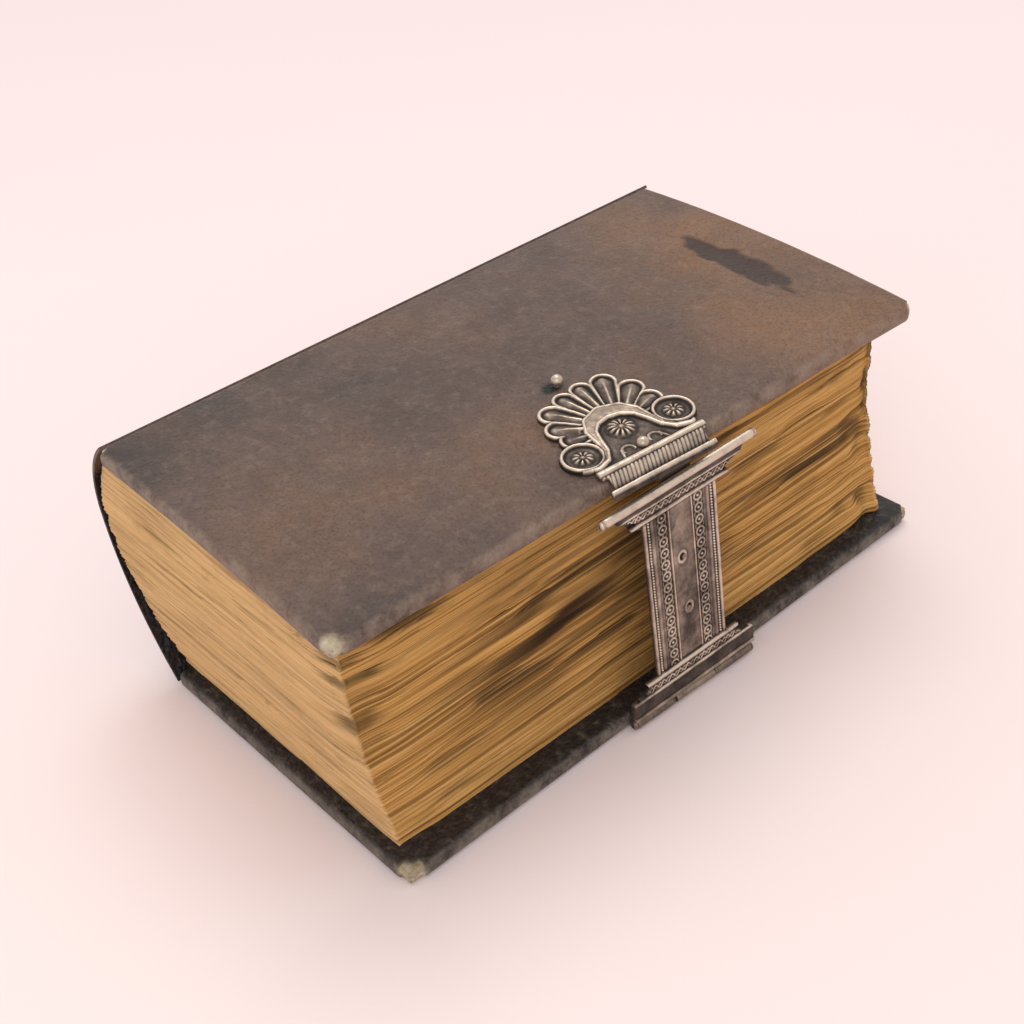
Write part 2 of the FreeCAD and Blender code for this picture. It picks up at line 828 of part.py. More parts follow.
def hinge_barrel(body, name, length):
    sketch = new_sketch(body, f"{name}_ring", "XZ")
    circle(sketch, 0, 0, S["knuckle_radius"])
    return pad(body, sketch, length, both_ways=True)


def hinge_bore(body, name):
    sketch = new_sketch(body, f"{name}_bore", "XZ")
    circle(sketch, 0, 0, S["pin_radius"] + S["pin_play"])
    return pocket(body, sketch, 2 * S["hinge_length"], both_ways=True)


def anchor_plate():
    """The hinge plate let into the back cover, with the middle knuckle."""
    body = new_body("anchor_sheet")
    sketch = new_sketch(body, "anchor_outline", "XY", offset=-S["hinge_rise"])
    half = S["anchor_width"] / 2
    neck = S["knuckle_length"] / 2
    shoulder = -S["knuckle_radius"] - S["anchor_clear"]
    inner = shoulder - S["anchor_depth"]
    outline(
        sketch,
        (
            (0, -neck),
            (0, neck),
            (shoulder, neck),
            (shoulder, half),
            (inner, half, half, 1),
            (inner - half, 0, half, 1),
            (inner, -half),
            (shoulder, -half),
            (shoulder, -neck),
        ),
    )
    pad(body, sketch, S["anchor_gauge"])
    hinge_barrel(body, "anchor", S["knuckle_length"])
    hinge_bore(body, "anchor")
    body.Placement = ANCHOR_FRAME
    return body


def countersunk_rivet(name, x, y):
    """A rivet flush with the rest face, hammered over inside the pasteboard."""
    shank = S["rivet_radius"]
    length = HALF_LEATHER - CORE_FLOOR
    bar = doc.addObject("Part::Cylinder", f"{name}_shank")
    tie(bar, Radius=shank, Height=length)
    head = doc.addObject("Part::Cone", f"{name}_head")
    tie(head, Radius1=S["rivet_head"], Radius2=shank, Height=S["anchor_gauge"])
    place = FreeCAD.Placement(
        FreeCAD.Vector(Size.of(x).value, Size.of(y).value, -S["hinge_rise"].value),
        FreeCAD.Rotation(),
    )
    rivet = fused(name, bar, head)
    rivet.Placement = ANCHOR_FRAME.multiply(place)
    return rivet


def anchor_rivets():
    shoulder = -S["knuckle_radius"] - S["anchor_clear"]
    inner = shoulder - S["anchor_depth"]
    side = S["anchor_width"] / 2 - 3 * S["rivet_head"]
    near = shoulder - 3 * S["rivet_head"]
    return together(
        "anchor_rivets",
        countersunk_rivet("anchor_rivet_tail", near, -side),
        countersunk_rivet("anchor_rivet_head", near, side),
        countersunk_rivet("anchor_rivet_inner", inner - side / 2, 0),
    )


def hinge_pin():
    body = new_body("hinge_pin")
    sketch = new_sketch(body, "hinge_pin_ring", "XZ")
    circle(sketch, 0, 0, S["pin_radius"])
    pad(body, sketch, S["hinge_length"], both_ways=True)
    body.Placement = ANCHOR_FRAME
    return body


MOULDING = 0.6
GRIP_RISE = S["column_head"] + S["cornice_rise"]


def base_corners():
    """Section of the strap's moulded base, from its back round its face."""
    foot = S["base_foot"]
    head = S["column_foot"]
    flare = S["base_flare"]
    gauge = S["strap_gauge"]
    band = foot + (head - foot) * 0.6
    return (
        (0, foot),
        (flare, foot),
        (flare, foot + MOULDING),
        (flare - MOULDING, foot + MOULDING),
        (flare - MOULDING, band),
        (flare, band),
        (flare, band + MOULDING),
        (gauge + MOULDING, head - MOULDING),
        (gauge + MOULDING, head),
        (gauge + MOULDING / 2, head + MOULDING),
        (0, head + MOULDING),
    )


def cornice_corners():
    """Section of the strap's cornice, up to the seat of the grip bar."""
    foot = S["column_head"]
    head = GRIP_RISE
    flare = S["cornice_flare"]
    gauge = S["strap_gauge"]
    band = foot + (head - foot) / 2
    return (
        (0, foot - MOULDING),
        (gauge + MOULDING / 2, foot - MOULDING),
        (gauge + MOULDING, foot),
        (gauge + MOULDING, foot + MOULDING),
        (flare - MOULDING, band - MOULDING),
        (flare, band - MOULDING),
        (flare, band),
        (flare - MOULDING, band + MOULDING),
        (flare - MOULDING, head),
        (0, head),
    )


def end_notches(body, name, half_length, height):
    """Round hollows cut through both ends of a moulding."""
    sketch = new_sketch(body, f"{name}_notches", "YZ")
    circle(sketch, -half_length, height, S["notch_radius"])
    circle(sketch, half_length, height, S["notch_radius"])
    return pocket(body, sketch, 4 * S["base_flare"], both_ways=True)


def column_strips(body, name, inner, outer, height):
    """Two upright strips, mirrored, that stand on the column's face."""
    sketch = new_sketch(body, name, "YZ")
    foot = S["column_foot"]
    head = S["column_head"]
    outline(sketch, box_corners(-outer, foot, -inner, head))
    outline(sketch, box_corners(inner, foot, outer, head))
    return pad(body, sketch, height)


def rosette_rows(body):
    """Two rows of small rosettes up the column."""
    across = S["column_width"] / 2 - S["rosette_inset"]
    start = S["column_foot"] + S["rosette_pitch"] + S["relief"]
    face = S["strap_gauge"]
    sketch = new_sketch(body, "rosette_pair", "YZ")
    polygon(sketch, -across, start, S["rosette_radius"], BOSS_SIDES)
    polygon(sketch, across, start, S["rosette_radius"], BOSS_SIDES)
    first = pad(body, sketch, face + S["relief"])
    repeat(body, first, "Z_Axis", S["rosette_pitch"] * (ROSETTE_COUNT - 1), ROSETTE_COUNT)


def scroll_row(body, name, height, length, face):
    """A row of bosses for the running scroll of a moulding."""
    pitch = length / (SCROLL_COUNT + 1)
    sketch = new_sketch(body, f"{name}_scroll", "YZ")
    polygon(sketch, pitch - length / 2, height, pitch / 3, BOSS_SIDES)
    first = pad(body, sketch, face)
    repeat(body, first, "Y_Axis", pitch * (SCROLL_COUNT - 1), SCROLL_COUNT)


def clasp_strap():
    body = new_body("strap_sheet")
    gauge = S["strap_gauge"]
    half_width = S["column_width"] / 2
    column = new_sketch(body, "column", "YZ")
    corners = box_corners(-half_width, S["column_foot"], half_width, S["column_head"])
    outline(column, corners)
    pad(body, column, gauge)
    base = new_sketch(body, "base_section", "XZ")
    outline(base, base_corners())
    pad(body, base, S["base_length"], both_ways=True)
    cornice = new_sketch(body, "cornice_section", "XZ")
    outline(cornice, cornice_corners())
    pad(body, cornice, S["cornice_length"], both_ways=True)
    seat = new_sketch(body, "grip_seat", "XZ")
    circle(seat, S["grip_reach"], GRIP_RISE, S["grip_radius"])
    pocket(body, seat, 2 * S["grip_length"], both_ways=True)
    notch = S["notch_radius"]
    end_notches(body, "base", S["base_length"] / 2, S["column_foot"])
    end_notches(body, "cornice", S["cornice_length"] / 2, S["column_head"])
    edge = half_width - S["edge_strip"]
    bead = edge - S["bead_strip"]
    column_strips(body, "folded_edges", edge, half_width, gauge + S["relief"])
    column_strips(body, "bead_mouldings", bead, edge - S["relief"], gauge + 2 * S["relief"])
    line = half_width - S["rosette_inset"] - S["rosette_radius"] - 3 * S["relief"]
    column_strips(body, "panel_lines", line, line + 2 * S["relief"], gauge + S["relief"])
    rosette_rows(body)
    low = S["column_foot"] - notch / 2
    scroll_row(body, "base", low, S["base_length"] - 2 * notch, S["base_flare"])
    high = S["column_head"] + notch / 2
    scroll_row(body, "cornice", high, S["cornice_length"] - 2 * notch, S["cornice_flare"])
    body.Placement = STRAP_FRAME
    return body


def strap_knuckles():
    """The strap's two knuckles and the web that joins them to its base."""
    body = new_body("strap_knuckles")
    web = new_sketch(body, "knuckle_web", "XZ")
    outline(web, box_corners(0, 0, S["knuckle_radius"], S["base_foot"] + MOULDING))
    pad(body, web, S["hinge_length"], both_ways=True)
    hinge_barrel(body, "strap", S["hinge_length"])
    room = new_sketch(body, "middle_knuckle_room", "XZ")
    circle(room, 0, 0, S["knuckle_radius"] + S["knuckle_play"])
    space = S["knuckle_length"] + 2 * S["knuckle_play"]
    pocket(body, room, space, both_ways=True)
    hinge_bore(body, "strap")
    body.Placement = KNUCKLE_FRAME
    return body


def clasp_grip():
    """The round bar along the strap's end, by which the clasp is pulled open."""
    body = new_body("clasp_grip")
    sketch = new_sketch(body, "grip_ring", "XZ")
    circle(sketch, S["grip_reach"], GRIP_RISE, S["grip_radius"])
    bar = pad(body, sketch, S["grip_length"], both_ways=True)
    doc.recompute()
    ends = body.newObject("PartDesign::Chamfer", "grip_ends")
    rims = [
        f"Edge{i}" for i, e in enumerate(bar.Shape.Edges, 1) if e.BoundBox.YLength < SOLID_SLACK
    ]
    ends.Base = (bar, rims)
    tie(ends, Size=S["grip_radius"] / 2)
    body.Placement = STRAP_FRAME
    return body


def lip_underside():
    """Height of the catch plate's lip over the strap's hinge axis."""
    lip = FreeCAD.Vector(S["board_width"].value + S["lip_reach"].value, 0, 0)
    depth = HALF_LEATHER.value - S["lip_fall"].value
    place = FRONT_FRAME.multVec(lip + FreeCAD.Vector(0, 0, depth))
    return place.z - S["hinge_rise"].value


def catch_spring():
    """The strip riveted behind the strap, whose bent end snaps under the lip."""
    body = new_body("spring_strip")
    gauge = S["spring_gauge"]
    hook = Size.of(lip_underside()) - S["hook_gap"]
    bend = hook - gauge
    sketch = new_sketch(body, "spring_section", "XZ")
    outline(
        sketch,
        (
            (0, S["spring_foot"]),
            (0, hook),
            (-S["spring_hook"], hook),
            (-S["spring_hook"], bend),
            (-gauge, bend),
            (-gauge, S["spring_foot"]),
        ),
    )
    pad(body, sketch, S["spring_width"], both_ways=True)
    body.Placement = STRAP_FRAME
    return body


def strap_rivets():
    """Two rivets, hammered flush, that hold the catch spring to the strap."""
    rivets = []
    length = S["strap_gauge"] + S["spring_gauge"]
    for name in ("strap_rivet_low", "strap_rivet_high"):
        start = FreeCAD.Vector(-S["spring_gauge"].value, 0, S[name].value)
        turn = FreeCAD.Rotation(FreeCAD.Vector(0, 1, 0), 90)
        place = STRAP_FRAME.multiply(FreeCAD.Placement(start, turn))
        rivets.append(rod(name, S["strap_rivet_radius"], length, place))
    return together("strap_rivets", *rivets)


# The catch plate, drawn with the middle of its palmette at the origin, the
# leather's face at height 0 and the fore edge towards +X.

FAN_X = S["board_width"] - S["fan_inset"]


def plate_frame():
    """On the arched leather of the front cover, level with it at the palmette."""
    rise, radius = arch(S["front_crown"])
    slope = math.asin((FAN_X - S["board_width"] / 2).value / radius.value)
    height = HALF_LEATHER + rise(FAN_X)
    leather = frame(FAN_X, -S["fan_shift"], height, 0, math.degrees(slope))
    turn = FreeCAD.Placement(
        FreeCAD.Vector(), FreeCAD.Rotation(-S["plate_turn"].value, 0, 0)
    )
    return FRONT_FRAME.multiply(leather).multiply(turn)


EDGE_X = S["fan_inset"]


def lobe_corners(angle, tip, half_width, neck):
    """A spoon-shaped lobe whose middle line leaves the palmette at an angle."""
    bowl = tip - half_width
    neck_half = half_width / 2

    def turned(along, across):
        x = -along * cosine(angle) - across * sine(angle)
        y = along * sine(angle) - across * cosine(angle)
        return x, y

    return (
        turned(neck, neck_half),
        (*turned(bowl, half_width), half_width, -1),
        (*turned(tip, Size.of(0)), half_width, -1),
        turned(bowl, -half_width),
        turned(neck, -neck_half),
    )


def palmette_lobes(body):
    count = max(LOBE_STEPS)
    for step in LOBE_STEPS:
        angle = S["lobe_step"] * step
        tip = S["lobe_reach"] - S["lobe_fall"] * (step * step) / (count * count)
        neck = S["lobe_neck"] - S["lobe_half_width"] * abs(step) / count
        sketch = new_sketch(body, f"lobe_{step + count}", "XY")
        outline(sketch, lobe_corners(angle, tip, S["lobe_half_width"], neck))
        pad(body, sketch, S["lobe_height"])
    for step in LOBE_STEPS:
        angle = S["lobe_step"] * step
        rim = S["lobe_rim"]
        tip = S["lobe_reach"] - rim - S["lobe_fall"] * (step * step) / (count * count)
        sketch = new_sketch(body, f"bowl_{step + count}", "XY", offset=S["lobe_height"])
        width = S["lobe_half_width"] - rim
        outline(sketch, lobe_corners(angle, tip, width, S["lobe_neck"] + rim))
        pocket(body, sketch, S["lobe_height"] - S["plate_gauge"] / 2)


def ring_of_petals(body, name, x, y, count, ring, floor):
    """A rosette: round petals about a boss."""
    sketch = new_sketch(body, name, "XY", offset=floor)
    for index in range(count):
        angle = 360.0 * index / count
        across = x + ring * cosine(angle)
        along = y + ring * sine(angle)
        polygon(sketch, across, along, S["petal_radius"], PETAL_SIDES)
    polygon(sketch, x, y, S["rosette_boss"], BOSS_SIDES)
    return pad(body, sketch, 2 * S["relief"])


def lip_skew():
    """How far the turned plate's end lies inside the line of the cover's edge."""
    return S["fillet_length"] / 2 * sine(S["plate_turn"])


def lip_corners():
    """Section of fillets, fluted band and lip over the cover's fore edge."""
    edge = EDGE_X
    height = S["arch_height"]
    gauge = S["plate_gauge"]
    reach = edge + S["lip_reach"]
    fall = -S["lip_fall"]
    skew = lip_skew()
    return (
        (edge - 3 * gauge, 0),
        (edge - 3 * gauge, height),
        (edge + skew - gauge, height),
        (edge + skew, height - gauge),
        (reach - gauge, fall + 2 * gauge),
        (reach, fall + 2 * gauge),
        (reach, fall),
        (reach - 2 * gauge, fall),
        (edge + skew + gauge / 2, -gauge),
        (edge + skew, 0),
    )


def reeds(body):
    """The fluted band: a row of reeds down the sloping band."""
    edge = EDGE_X + lip_skew()
    gauge = S["plate_gauge"]
    reach = EDGE_X + S["lip_reach"]
    relief = S["relief"]
    height = S["arch_height"]
    fall = -S["lip_fall"]
    span = S["reed_pitch"] * (REED_COUNT - 1)
    sketch = new_sketch(body, "reed", "XZ", offset=span / 2)
    outline(
        sketch,
        (
            (edge, height - gauge),
            (edge + relief, height - gauge),
            (reach - gauge + relief, fall + 2 * gauge + relief),
            (reach - gauge, fall + 2 * gauge),
        ),
    )
    first = pad(body, sketch, S["reed_width"], both_ways=True)
    repeat(body, first, "Y_Axis", span, REED_COUNT)


def catch_plate():
    body = new_body("catch_sheet")
    gauge = S["plate_gauge"]
    field = new_sketch(body, "palmette_field", "XY")
    circle(field, 0, 0, S["lobe_neck"] + S["lobe_rim"])
    pad(body, field, gauge)
    palmette_lobes(body)
    skirt = new_sketch(body, "plate_skirt", "XY")
    half = S["fillet_length"] / 2
    outline(skirt, box_corners(0, -half, EDGE_X - gauge, half))
    pad(body, skirt, gauge)
    discs = new_sketch(body, "discs", "XY")
    circle(discs, S["disc_offset"], -S["disc_spread"], S["disc_radius"])
    circle(discs, S["disc_offset"], S["disc_spread"], S["disc_radius"])
    pad(body, discs, S["lobe_height"])
    bowls = new_sketch(body, "disc_bowls", "XY", offset=S["lobe_height"])
    bowl_radius = S["disc_radius"] - S["lobe_rim"]
    circle(bowls, S["disc_offset"], -S["disc_spread"], bowl_radius)
    circle(bowls, S["disc_offset"], S["disc_spread"], bowl_radius)
    pocket(body, bowls, S["lobe_height"] - gauge / 2)
    horseshoe = new_sketch(body, "horseshoe", "XY")
    arch_corners(horseshoe)
    pad(body, horseshoe, S["arch_height"])
    ring = S["disc_radius"] / 2
    for name, side in (("rosette_tail", -1), ("rosette_head", 1)):
        across = S["disc_spread"] * side
        ring_of_petals(body, name, S["disc_offset"], across, DISC_PETALS, ring, gauge / 2)
    ring = (S["arch_inner"] + S["rosette_boss"]) / 2
    ring_of_petals(body, "rosette_middle", 0, 0, MIDDLE_PETALS, ring, gauge)
    lip = new_sketch(body, "lip_section", "XZ")
    outline(lip, lip_corners())
    pad(body, lip, S["fillet_length"], both_ways=True)
    reeds(body)
    body.Placement = plate_frame()
    return body


def arch_corners(sketch):
    """The horseshoe arch with its ends running out to the discs."""
    outer = S["arch_outer"]
    inner = S["arch_inner"]
    end_x = S["disc_offset"] + S["disc_radius"]
    end_y = S["disc_spread"] - S["disc_radius"]
    waist = outer * 0.8
    outline(
        sketch,
        (
            (0, outer, outer, 1),
            (-outer, 0, outer, 1),
            (0, -outer),
            (end_x, -end_y - S["lobe_rim"]),
            (end_x, -end_y + S["lobe_rim"]),
            (inner, -waist + S["lobe_rim"]),
            (0, -inner, inner, -1),
            (-inner, 0, inner, -1),
            (0, inner),
            (inner, waist - S["lobe_rim"]),
            (end_x, end_y - S["lobe_rim"]),
            (end_x, end_y + S["lobe_rim"]),
        ),
    )


def dome(name, radius, place):
    """Half a ball with its flat side down."""
    ball = doc.addObject("Part::Sphere", name)
    tie(ball, Radius=radius)
    ball.Angle1 = 0
    ball.Placement = place
    return ball


def cover_rivet(name, x, y, stand):
    """A domed rivet through the front cover, its head above the leather by stand."""
    place = plate_frame()
    depth = S["leather_gauge"] + S["core_gauge"]
    foot = FreeCAD.Vector(Size.of(x).value, Size.of(y).value, -depth.value)
    head = FreeCAD.Vector(foot.x, foot.y, stand.value)
    shank = rod(
        f"{name}_shank",
        S["rivet_radius"],
        depth + stand,
        place.multiply(FreeCAD.Placement(foot, FreeCAD.Rotation())),
    )
    cap = dome(
        f"{name}_cap",
        S["rivet_head"],
        place.multiply(FreeCAD.Placement(head, FreeCAD.Rotation())),
    )
    return fused(name, shank, cap)


def catch_rivets():
    return together(
        "catch_rivets",
        cover_rivet("domed_rivet", S["domed_rivet_reach"], 0, S["plate_gauge"]),
        cover_rivet("crown_rivet", -S["crown_rivet_reach"], 0, S["crown_rivet_stand"]),
    )


def torn_hole():
    """The hole torn in the leather round the proud rivet."""
    depth = S["leather_gauge"]
    start = FreeCAD.Vector(-S["crown_rivet_reach"].value, 0, -depth.value)
    place = plate_frame().multiply(FreeCAD.Placement(start, FreeCAD.Rotation()))
    return rod("torn_hole", S["torn_hole"], 2 * depth, place)


def build():
    """Makes every sub-part and returns them in the order of a bench listing."""
    front_rivets = catch_rivets()
    back_rivets = anchor_rivets()
    spring_rivets = strap_rivets()
    anchor = anchor_plate()
    strap = fused("strap_casting", clasp_strap(), strap_knuckles())
    spring = catch_spring()
    plate = catch_plate()
    hole = torn_hole()
    crown = S["front_crown"]

    back_skin = leather_cover("back_skin", None, BACK_FRAME)
    back_recess = cut("back_recess", back_skin, anchor)
    back_core = board_core("back_core", None, BACK_FRAME)
    front_skin = leather_cover("front_skin", crown, FRONT_FRAME)
    front_torn = cut("front_torn", front_skin, hole)
    front_core = board_core("front_core", crown, FRONT_FRAME)

    cords = [sewing_cord(i, place) for i, place in enumerate(CORD_PLACES)]
    cord_group = together("sewing_cords", *cords)
    pages = common("page_block", page_stock(), page_envelope("page_envelope"))
    trimmed = cut("page_trimmed", pages, cover_space())
    opened = cut("page_opened", trimmed, leaf_gaps())

    return (
        cut("back_leather", back_recess, back_rivets),
        cut("back_board", back_core, back_rivets),
        pastedown("back_pastedown", None, BACK_FRAME),
        cut("anchor_plate", anchor, back_rivets),
        back_rivets,
        hinge_pin(),
        cut("text_block", opened, cord_group),
        cord_group,
        spine_lining(),
        spine_leather(),
        cut("front_leather", front_torn, front_rivets),
        cut("front_board", front_core, front_rivets),
        pastedown("front_pastedown", crown, FRONT_FRAME),
        cut("catch_plate", plate, front_rivets),
        front_rivets,
        cut("clasp_strap", strap, spring_rivets),
        clasp_grip(),
        cut("catch_spring", spring, spring_rivets),
        spring_rivets,
    )


def check(pieces):
    for item in doc.Objects:
        if "Invalid" in item.State or "Error" in item.State:
            raise RuntimeError(f"{item.Name} did not build: {item.State}")
    for piece in pieces:
        if piece.Shape.isNull() or not piece.Shape.isValid():
            raise RuntimeError(f"{piece.Label} has no valid shape")


def main():
    pieces = build()
    doc.recompute()
    check(pieces)
    os.makedirs("parts", exist_ok=True)
    for piece in pieces:
        piece.Shape.exportStep(os.path.join("parts", f"{piece.Label}.step"))
        print(piece.Label, len(piece.Shape.Solids), round(piece.Shape.Volume, 1))
    axis = FRONT_FRAME.Rotation.multVec(FreeCAD.Vector(0, -1, 0))
    print("front joint", FRONT_FRAME.Base, axis)
    print("back joint", BACK_FRAME.Base)
    print("clasp hinge", ANCHOR_FRAME.Base, ANCHOR_FRAME.Rotation.multVec(FreeCAD.Vector(0, 1, 0)))


main()
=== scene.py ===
import math

import bpy
import numpy as np
from mathutils import Matrix, Vector


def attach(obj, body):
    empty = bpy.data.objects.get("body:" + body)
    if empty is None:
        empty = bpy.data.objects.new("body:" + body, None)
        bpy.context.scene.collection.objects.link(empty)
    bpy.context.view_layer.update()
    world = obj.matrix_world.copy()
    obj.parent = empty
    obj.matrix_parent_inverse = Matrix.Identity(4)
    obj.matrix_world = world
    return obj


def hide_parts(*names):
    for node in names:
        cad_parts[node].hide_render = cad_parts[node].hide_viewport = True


# An old clasped book on a pale cloth. Lengths are in millimetres in the same
# frame as the solids, and become metres where a mesh is made.

MM = 0.001

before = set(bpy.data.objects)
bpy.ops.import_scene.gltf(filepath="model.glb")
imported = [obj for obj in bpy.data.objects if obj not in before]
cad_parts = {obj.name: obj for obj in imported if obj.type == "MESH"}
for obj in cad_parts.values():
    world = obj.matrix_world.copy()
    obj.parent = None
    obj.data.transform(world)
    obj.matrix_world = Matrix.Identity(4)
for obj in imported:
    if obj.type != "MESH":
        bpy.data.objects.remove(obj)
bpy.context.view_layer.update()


# Helpers for points and meshes

def smooth(low, high, value):
    """0 below low, 1 above high, and an even ramp between."""
    share = np.clip((value - low) / (high - low), 0, 1)
    return share * share * (3 - 2 * share)


def hashed(cell_x, cell_y, seed):
    """A repeatable random number from 0 to 1 for each whole-number cell."""
    mixed = np.sin(cell_x * 127.1 + cell_y * 311.7 + seed * 74.7) * 43758.5453
    return mixed - np.floor(mixed)


def noise(x, y, seed=0):
    """Smooth noise from -1 to 1 with a feature size of one unit."""
    cell_x = np.floor(x)
    cell_y = np.floor(y)
    part_x = x - cell_x
    part_y = y - cell_y
    ease_x = part_x * part_x * (3 - 2 * part_x)
    ease_y = part_y * part_y * (3 - 2 * part_y)
    low = hashed(cell_x, cell_y, seed) * (1 - ease_x) + hashed(cell_x + 1, cell_y, seed) * ease_x
    high = hashed(cell_x, cell_y + 1, seed) * (1 - ease_x)
    high = high + hashed(cell_x + 1, cell_y + 1, seed) * ease_x
    return (low * (1 - ease_y) + high * ease_y) * 2 - 1


def cloudy(x, y, seed=0, layers=4):
    """Noise at several sizes, each finer and fainter than the last."""
    total = 0
    for layer in range(layers):
        scale = 2.0 ** layer
        total = total + noise(x * scale, y * scale, seed + layer * 13) / scale
    return total / 1.8


class Place:
    """A local frame: its origin and three axes, in millimetres."""

    def __init__(self, origin, x_axis, y_axis, z_axis):
        self.origin = np.array(origin, float)
        self.axes = np.array([x_axis, y_axis, z_axis], float)

    def out(self, points):
        """Points of this frame as points of the book's frame."""
        return self.origin + np.asarray(points, float) @ self.axes


def turned(origin, turn=0.0, dip=0.0, lift=0.0):
    """A frame turned about Z, then Y, then X, in degrees."""
    a, b, c = (math.radians(v) for v in (turn, dip, lift))
    spin = Matrix.Rotation(a, 3, "Z") @ Matrix.Rotation(b, 3, "Y") @ Matrix.Rotation(c, 3, "X")
    return Place(origin, spin.col[0], spin.col[1], spin.col[2])


def nested(outer, origin, turn=0.0, dip=0.0):
    """A frame inside another one."""
    inner = turned(origin, turn, dip)
    return Place(outer.out(inner.origin), *(inner.axes @ outer.axes))


def add_mesh(name, points, faces, material, smooth_faces=True):
    mesh = bpy.data.meshes.new(name)
    mesh.from_pydata((np.asarray(points) * MM).tolist(), [], faces)
    mesh.update()
    obj = bpy.data.objects.new(name, mesh)
    bpy.context.scene.collection.objects.link(obj)
    if smooth_faces:
        mesh.polygons.foreach_set("use_smooth", [True] * len(mesh.polygons))
    mesh.materials.append(material)
    return obj


def paint(obj, name, values):
    """Keeps one number for each point, for the material to read."""
    layer = obj.data.attributes.new(name, "FLOAT", "POINT")
    layer.data.foreach_set("value", np.asarray(values, np.float32).ravel())


def grid_faces(rows, columns, start=0, flip=False, wrap=False):
    """Faces of a grid whose points are numbered row by row."""
    index = np.arange(rows * columns).reshape(rows, columns) + start
    if wrap:
        index = np.hstack([index, index[:, :1]])
    a = index[:-1, :-1].ravel()
    b = index[:-1, 1:].ravel()
    c = index[1:, 1:].ravel()
    d = index[1:, :-1].ravel()
    order = (a, d, c, b) if flip else (a, b, c, d)
    return np.stack(order, axis=1).tolist()


# Materials

class Shader:
    """Builds a node material step by step."""

    def __init__(self, name):
        self.material = bpy.data.materials.new(name)
        self.material.use_nodes = True
        self.tree = self.material.node_tree
        self.surface = self.tree.nodes["Principled BSDF"]
        self.place = self.add("ShaderNodeTexCoord").outputs["Object"]

    def add(self, kind, **settings):
        node = self.tree.nodes.new(kind)
        for key, value in settings.items():
            setattr(node, key, value)
        return node

    def link(self, source, target):
        self.tree.links.new(source, target)

    def put(self, socket, value):
        """Links another node's output to a socket, or sets its number or colour."""
        if hasattr(value, "is_output"):
            self.link(value, socket)
        elif socket.type == "RGBA":
            socket.default_value = (*value, 1.0)
        else:
            socket.default_value = value

    def fill(self, node, **values):
        """Puts values in a node's inputs by name; _ stands for a space."""
        for name, value in values.items():
            self.put(node.inputs[name.replace("_", " ")], value)
        return node

    def stretched(self, scale):
        """The object's coordinates, each scaled by its own factor."""
        node = self.fill(self.add("ShaderNodeMapping"), Vector=self.place, Scale=scale)
        return node.outputs["Vector"]

    def noise(self, scale, detail=4.0, rough=0.55, where=None, warp=0.0):
        node = self.fill(self.add("ShaderNodeTexNoise"), Vector=where or self.place, Scale=scale)
        self.fill(node, Detail=detail, Roughness=rough, Distortion=warp)
        return node.outputs["Fac"]

    def cells(self, scale):
        """Distances to the middles of rounded cells."""
        node = self.add("ShaderNodeTexVoronoi", feature="SMOOTH_F1")
        return self.fill(node, Vector=self.place, Scale=scale).outputs["Distance"]

    def parts(self):
        """The object's coordinates X, Y and Z by name."""
        return self.fill(self.add("ShaderNodeSeparateXYZ"), Vector=self.place).outputs

    def attribute(self, name):
        return self.add("ShaderNodeAttribute", attribute_name=name).outputs["Fac"]

    def math(self, operation, first, second=0.0):
        node = self.add("ShaderNodeMath", operation=operation)
        self.put(node.inputs[0], first)
        self.put(node.inputs[1], second)
        return node.outputs[0]

    def span(self, value, low, high, to_low=0.0, to_high=1.0):
        """The value carried from one range to another, held at its ends."""
        node = self.fill(self.add("ShaderNodeMapRange"), Value=value, From_Min=low, From_Max=high)
        return self.fill(node, To_Min=to_low, To_Max=to_high).outputs["Result"]

    def mix(self, share, first, second):
        node = self.add("ShaderNodeMix", data_type="RGBA")
        return self.fill(node, Factor=share, A=first, B=second).outputs["Result"]

    def ramp(self, value, *stops):
        node = self.fill(self.add("ShaderNodeValToRGB"), Fac=value)
        while len(node.color_ramp.elements) < len(stops):
            node.color_ramp.elements.new(0.5)
        for element, (position, colour) in zip(node.color_ramp.elements, stops):
            element.position = position
            element.color = (*colour, 1.0)
        return node.outputs["Color"]

    def bump(self, height, distance, strength=1.0, under=None):
        node = self.fill(self.add("ShaderNodeBump"), Height=height, Distance=distance, Strength=strength)
        if under is not None:
            self.link(under, node.inputs["Normal"])
        return node.outputs["Normal"]

    def finish(self, colour, rough, normal, **sockets):
        self.fill(self.surface, Base_Color=colour, Roughness=rough, Normal=normal, **sockets)
        return self.material


def srgb(red, green, blue):
    """A colour given as seen on a screen, 0 to 255, as the linear value nodes use."""
    def straight(value):
        share = value / 255
        return share / 12.92 if share <= 0.04045 else ((share + 0.055) / 1.055) ** 2.4

    return (straight(red), straight(green), straight(blue))


LEATHER_DARK = srgb(60, 49, 45)
LEATHER_MID = srgb(93, 74, 65)
LEATHER_WARM = srgb(126, 92, 66)
LEATHER_RUB = srgb(140, 121, 106)
BOARD_CREAM = srgb(196, 184, 158)
BOARD_GREY = srgb(140, 122, 94)
PEELED_BROWN = srgb(62, 44, 38)
# painted shade: the black of the pin hole beside the palmette and under the raised pin's head
PIN_HOLE_SHADE = srgb(16, 13, 12)
PAGE_LIGHT = srgb(208, 164, 102)
PAGE_MID = srgb(192, 142, 76)
PAGE_SHADE = srgb(120, 84, 42)
PAGE_TAIL = srgb(226, 190, 142)
PAGE_PATCH = srgb(118, 82, 42)
PAGE_STAIN = srgb(84, 56, 28)
# a real dirt stain on the fore edge together with a painted shadow of the strap
PAGE_SOIL_AND_SHADOW = srgb(52, 34, 18)
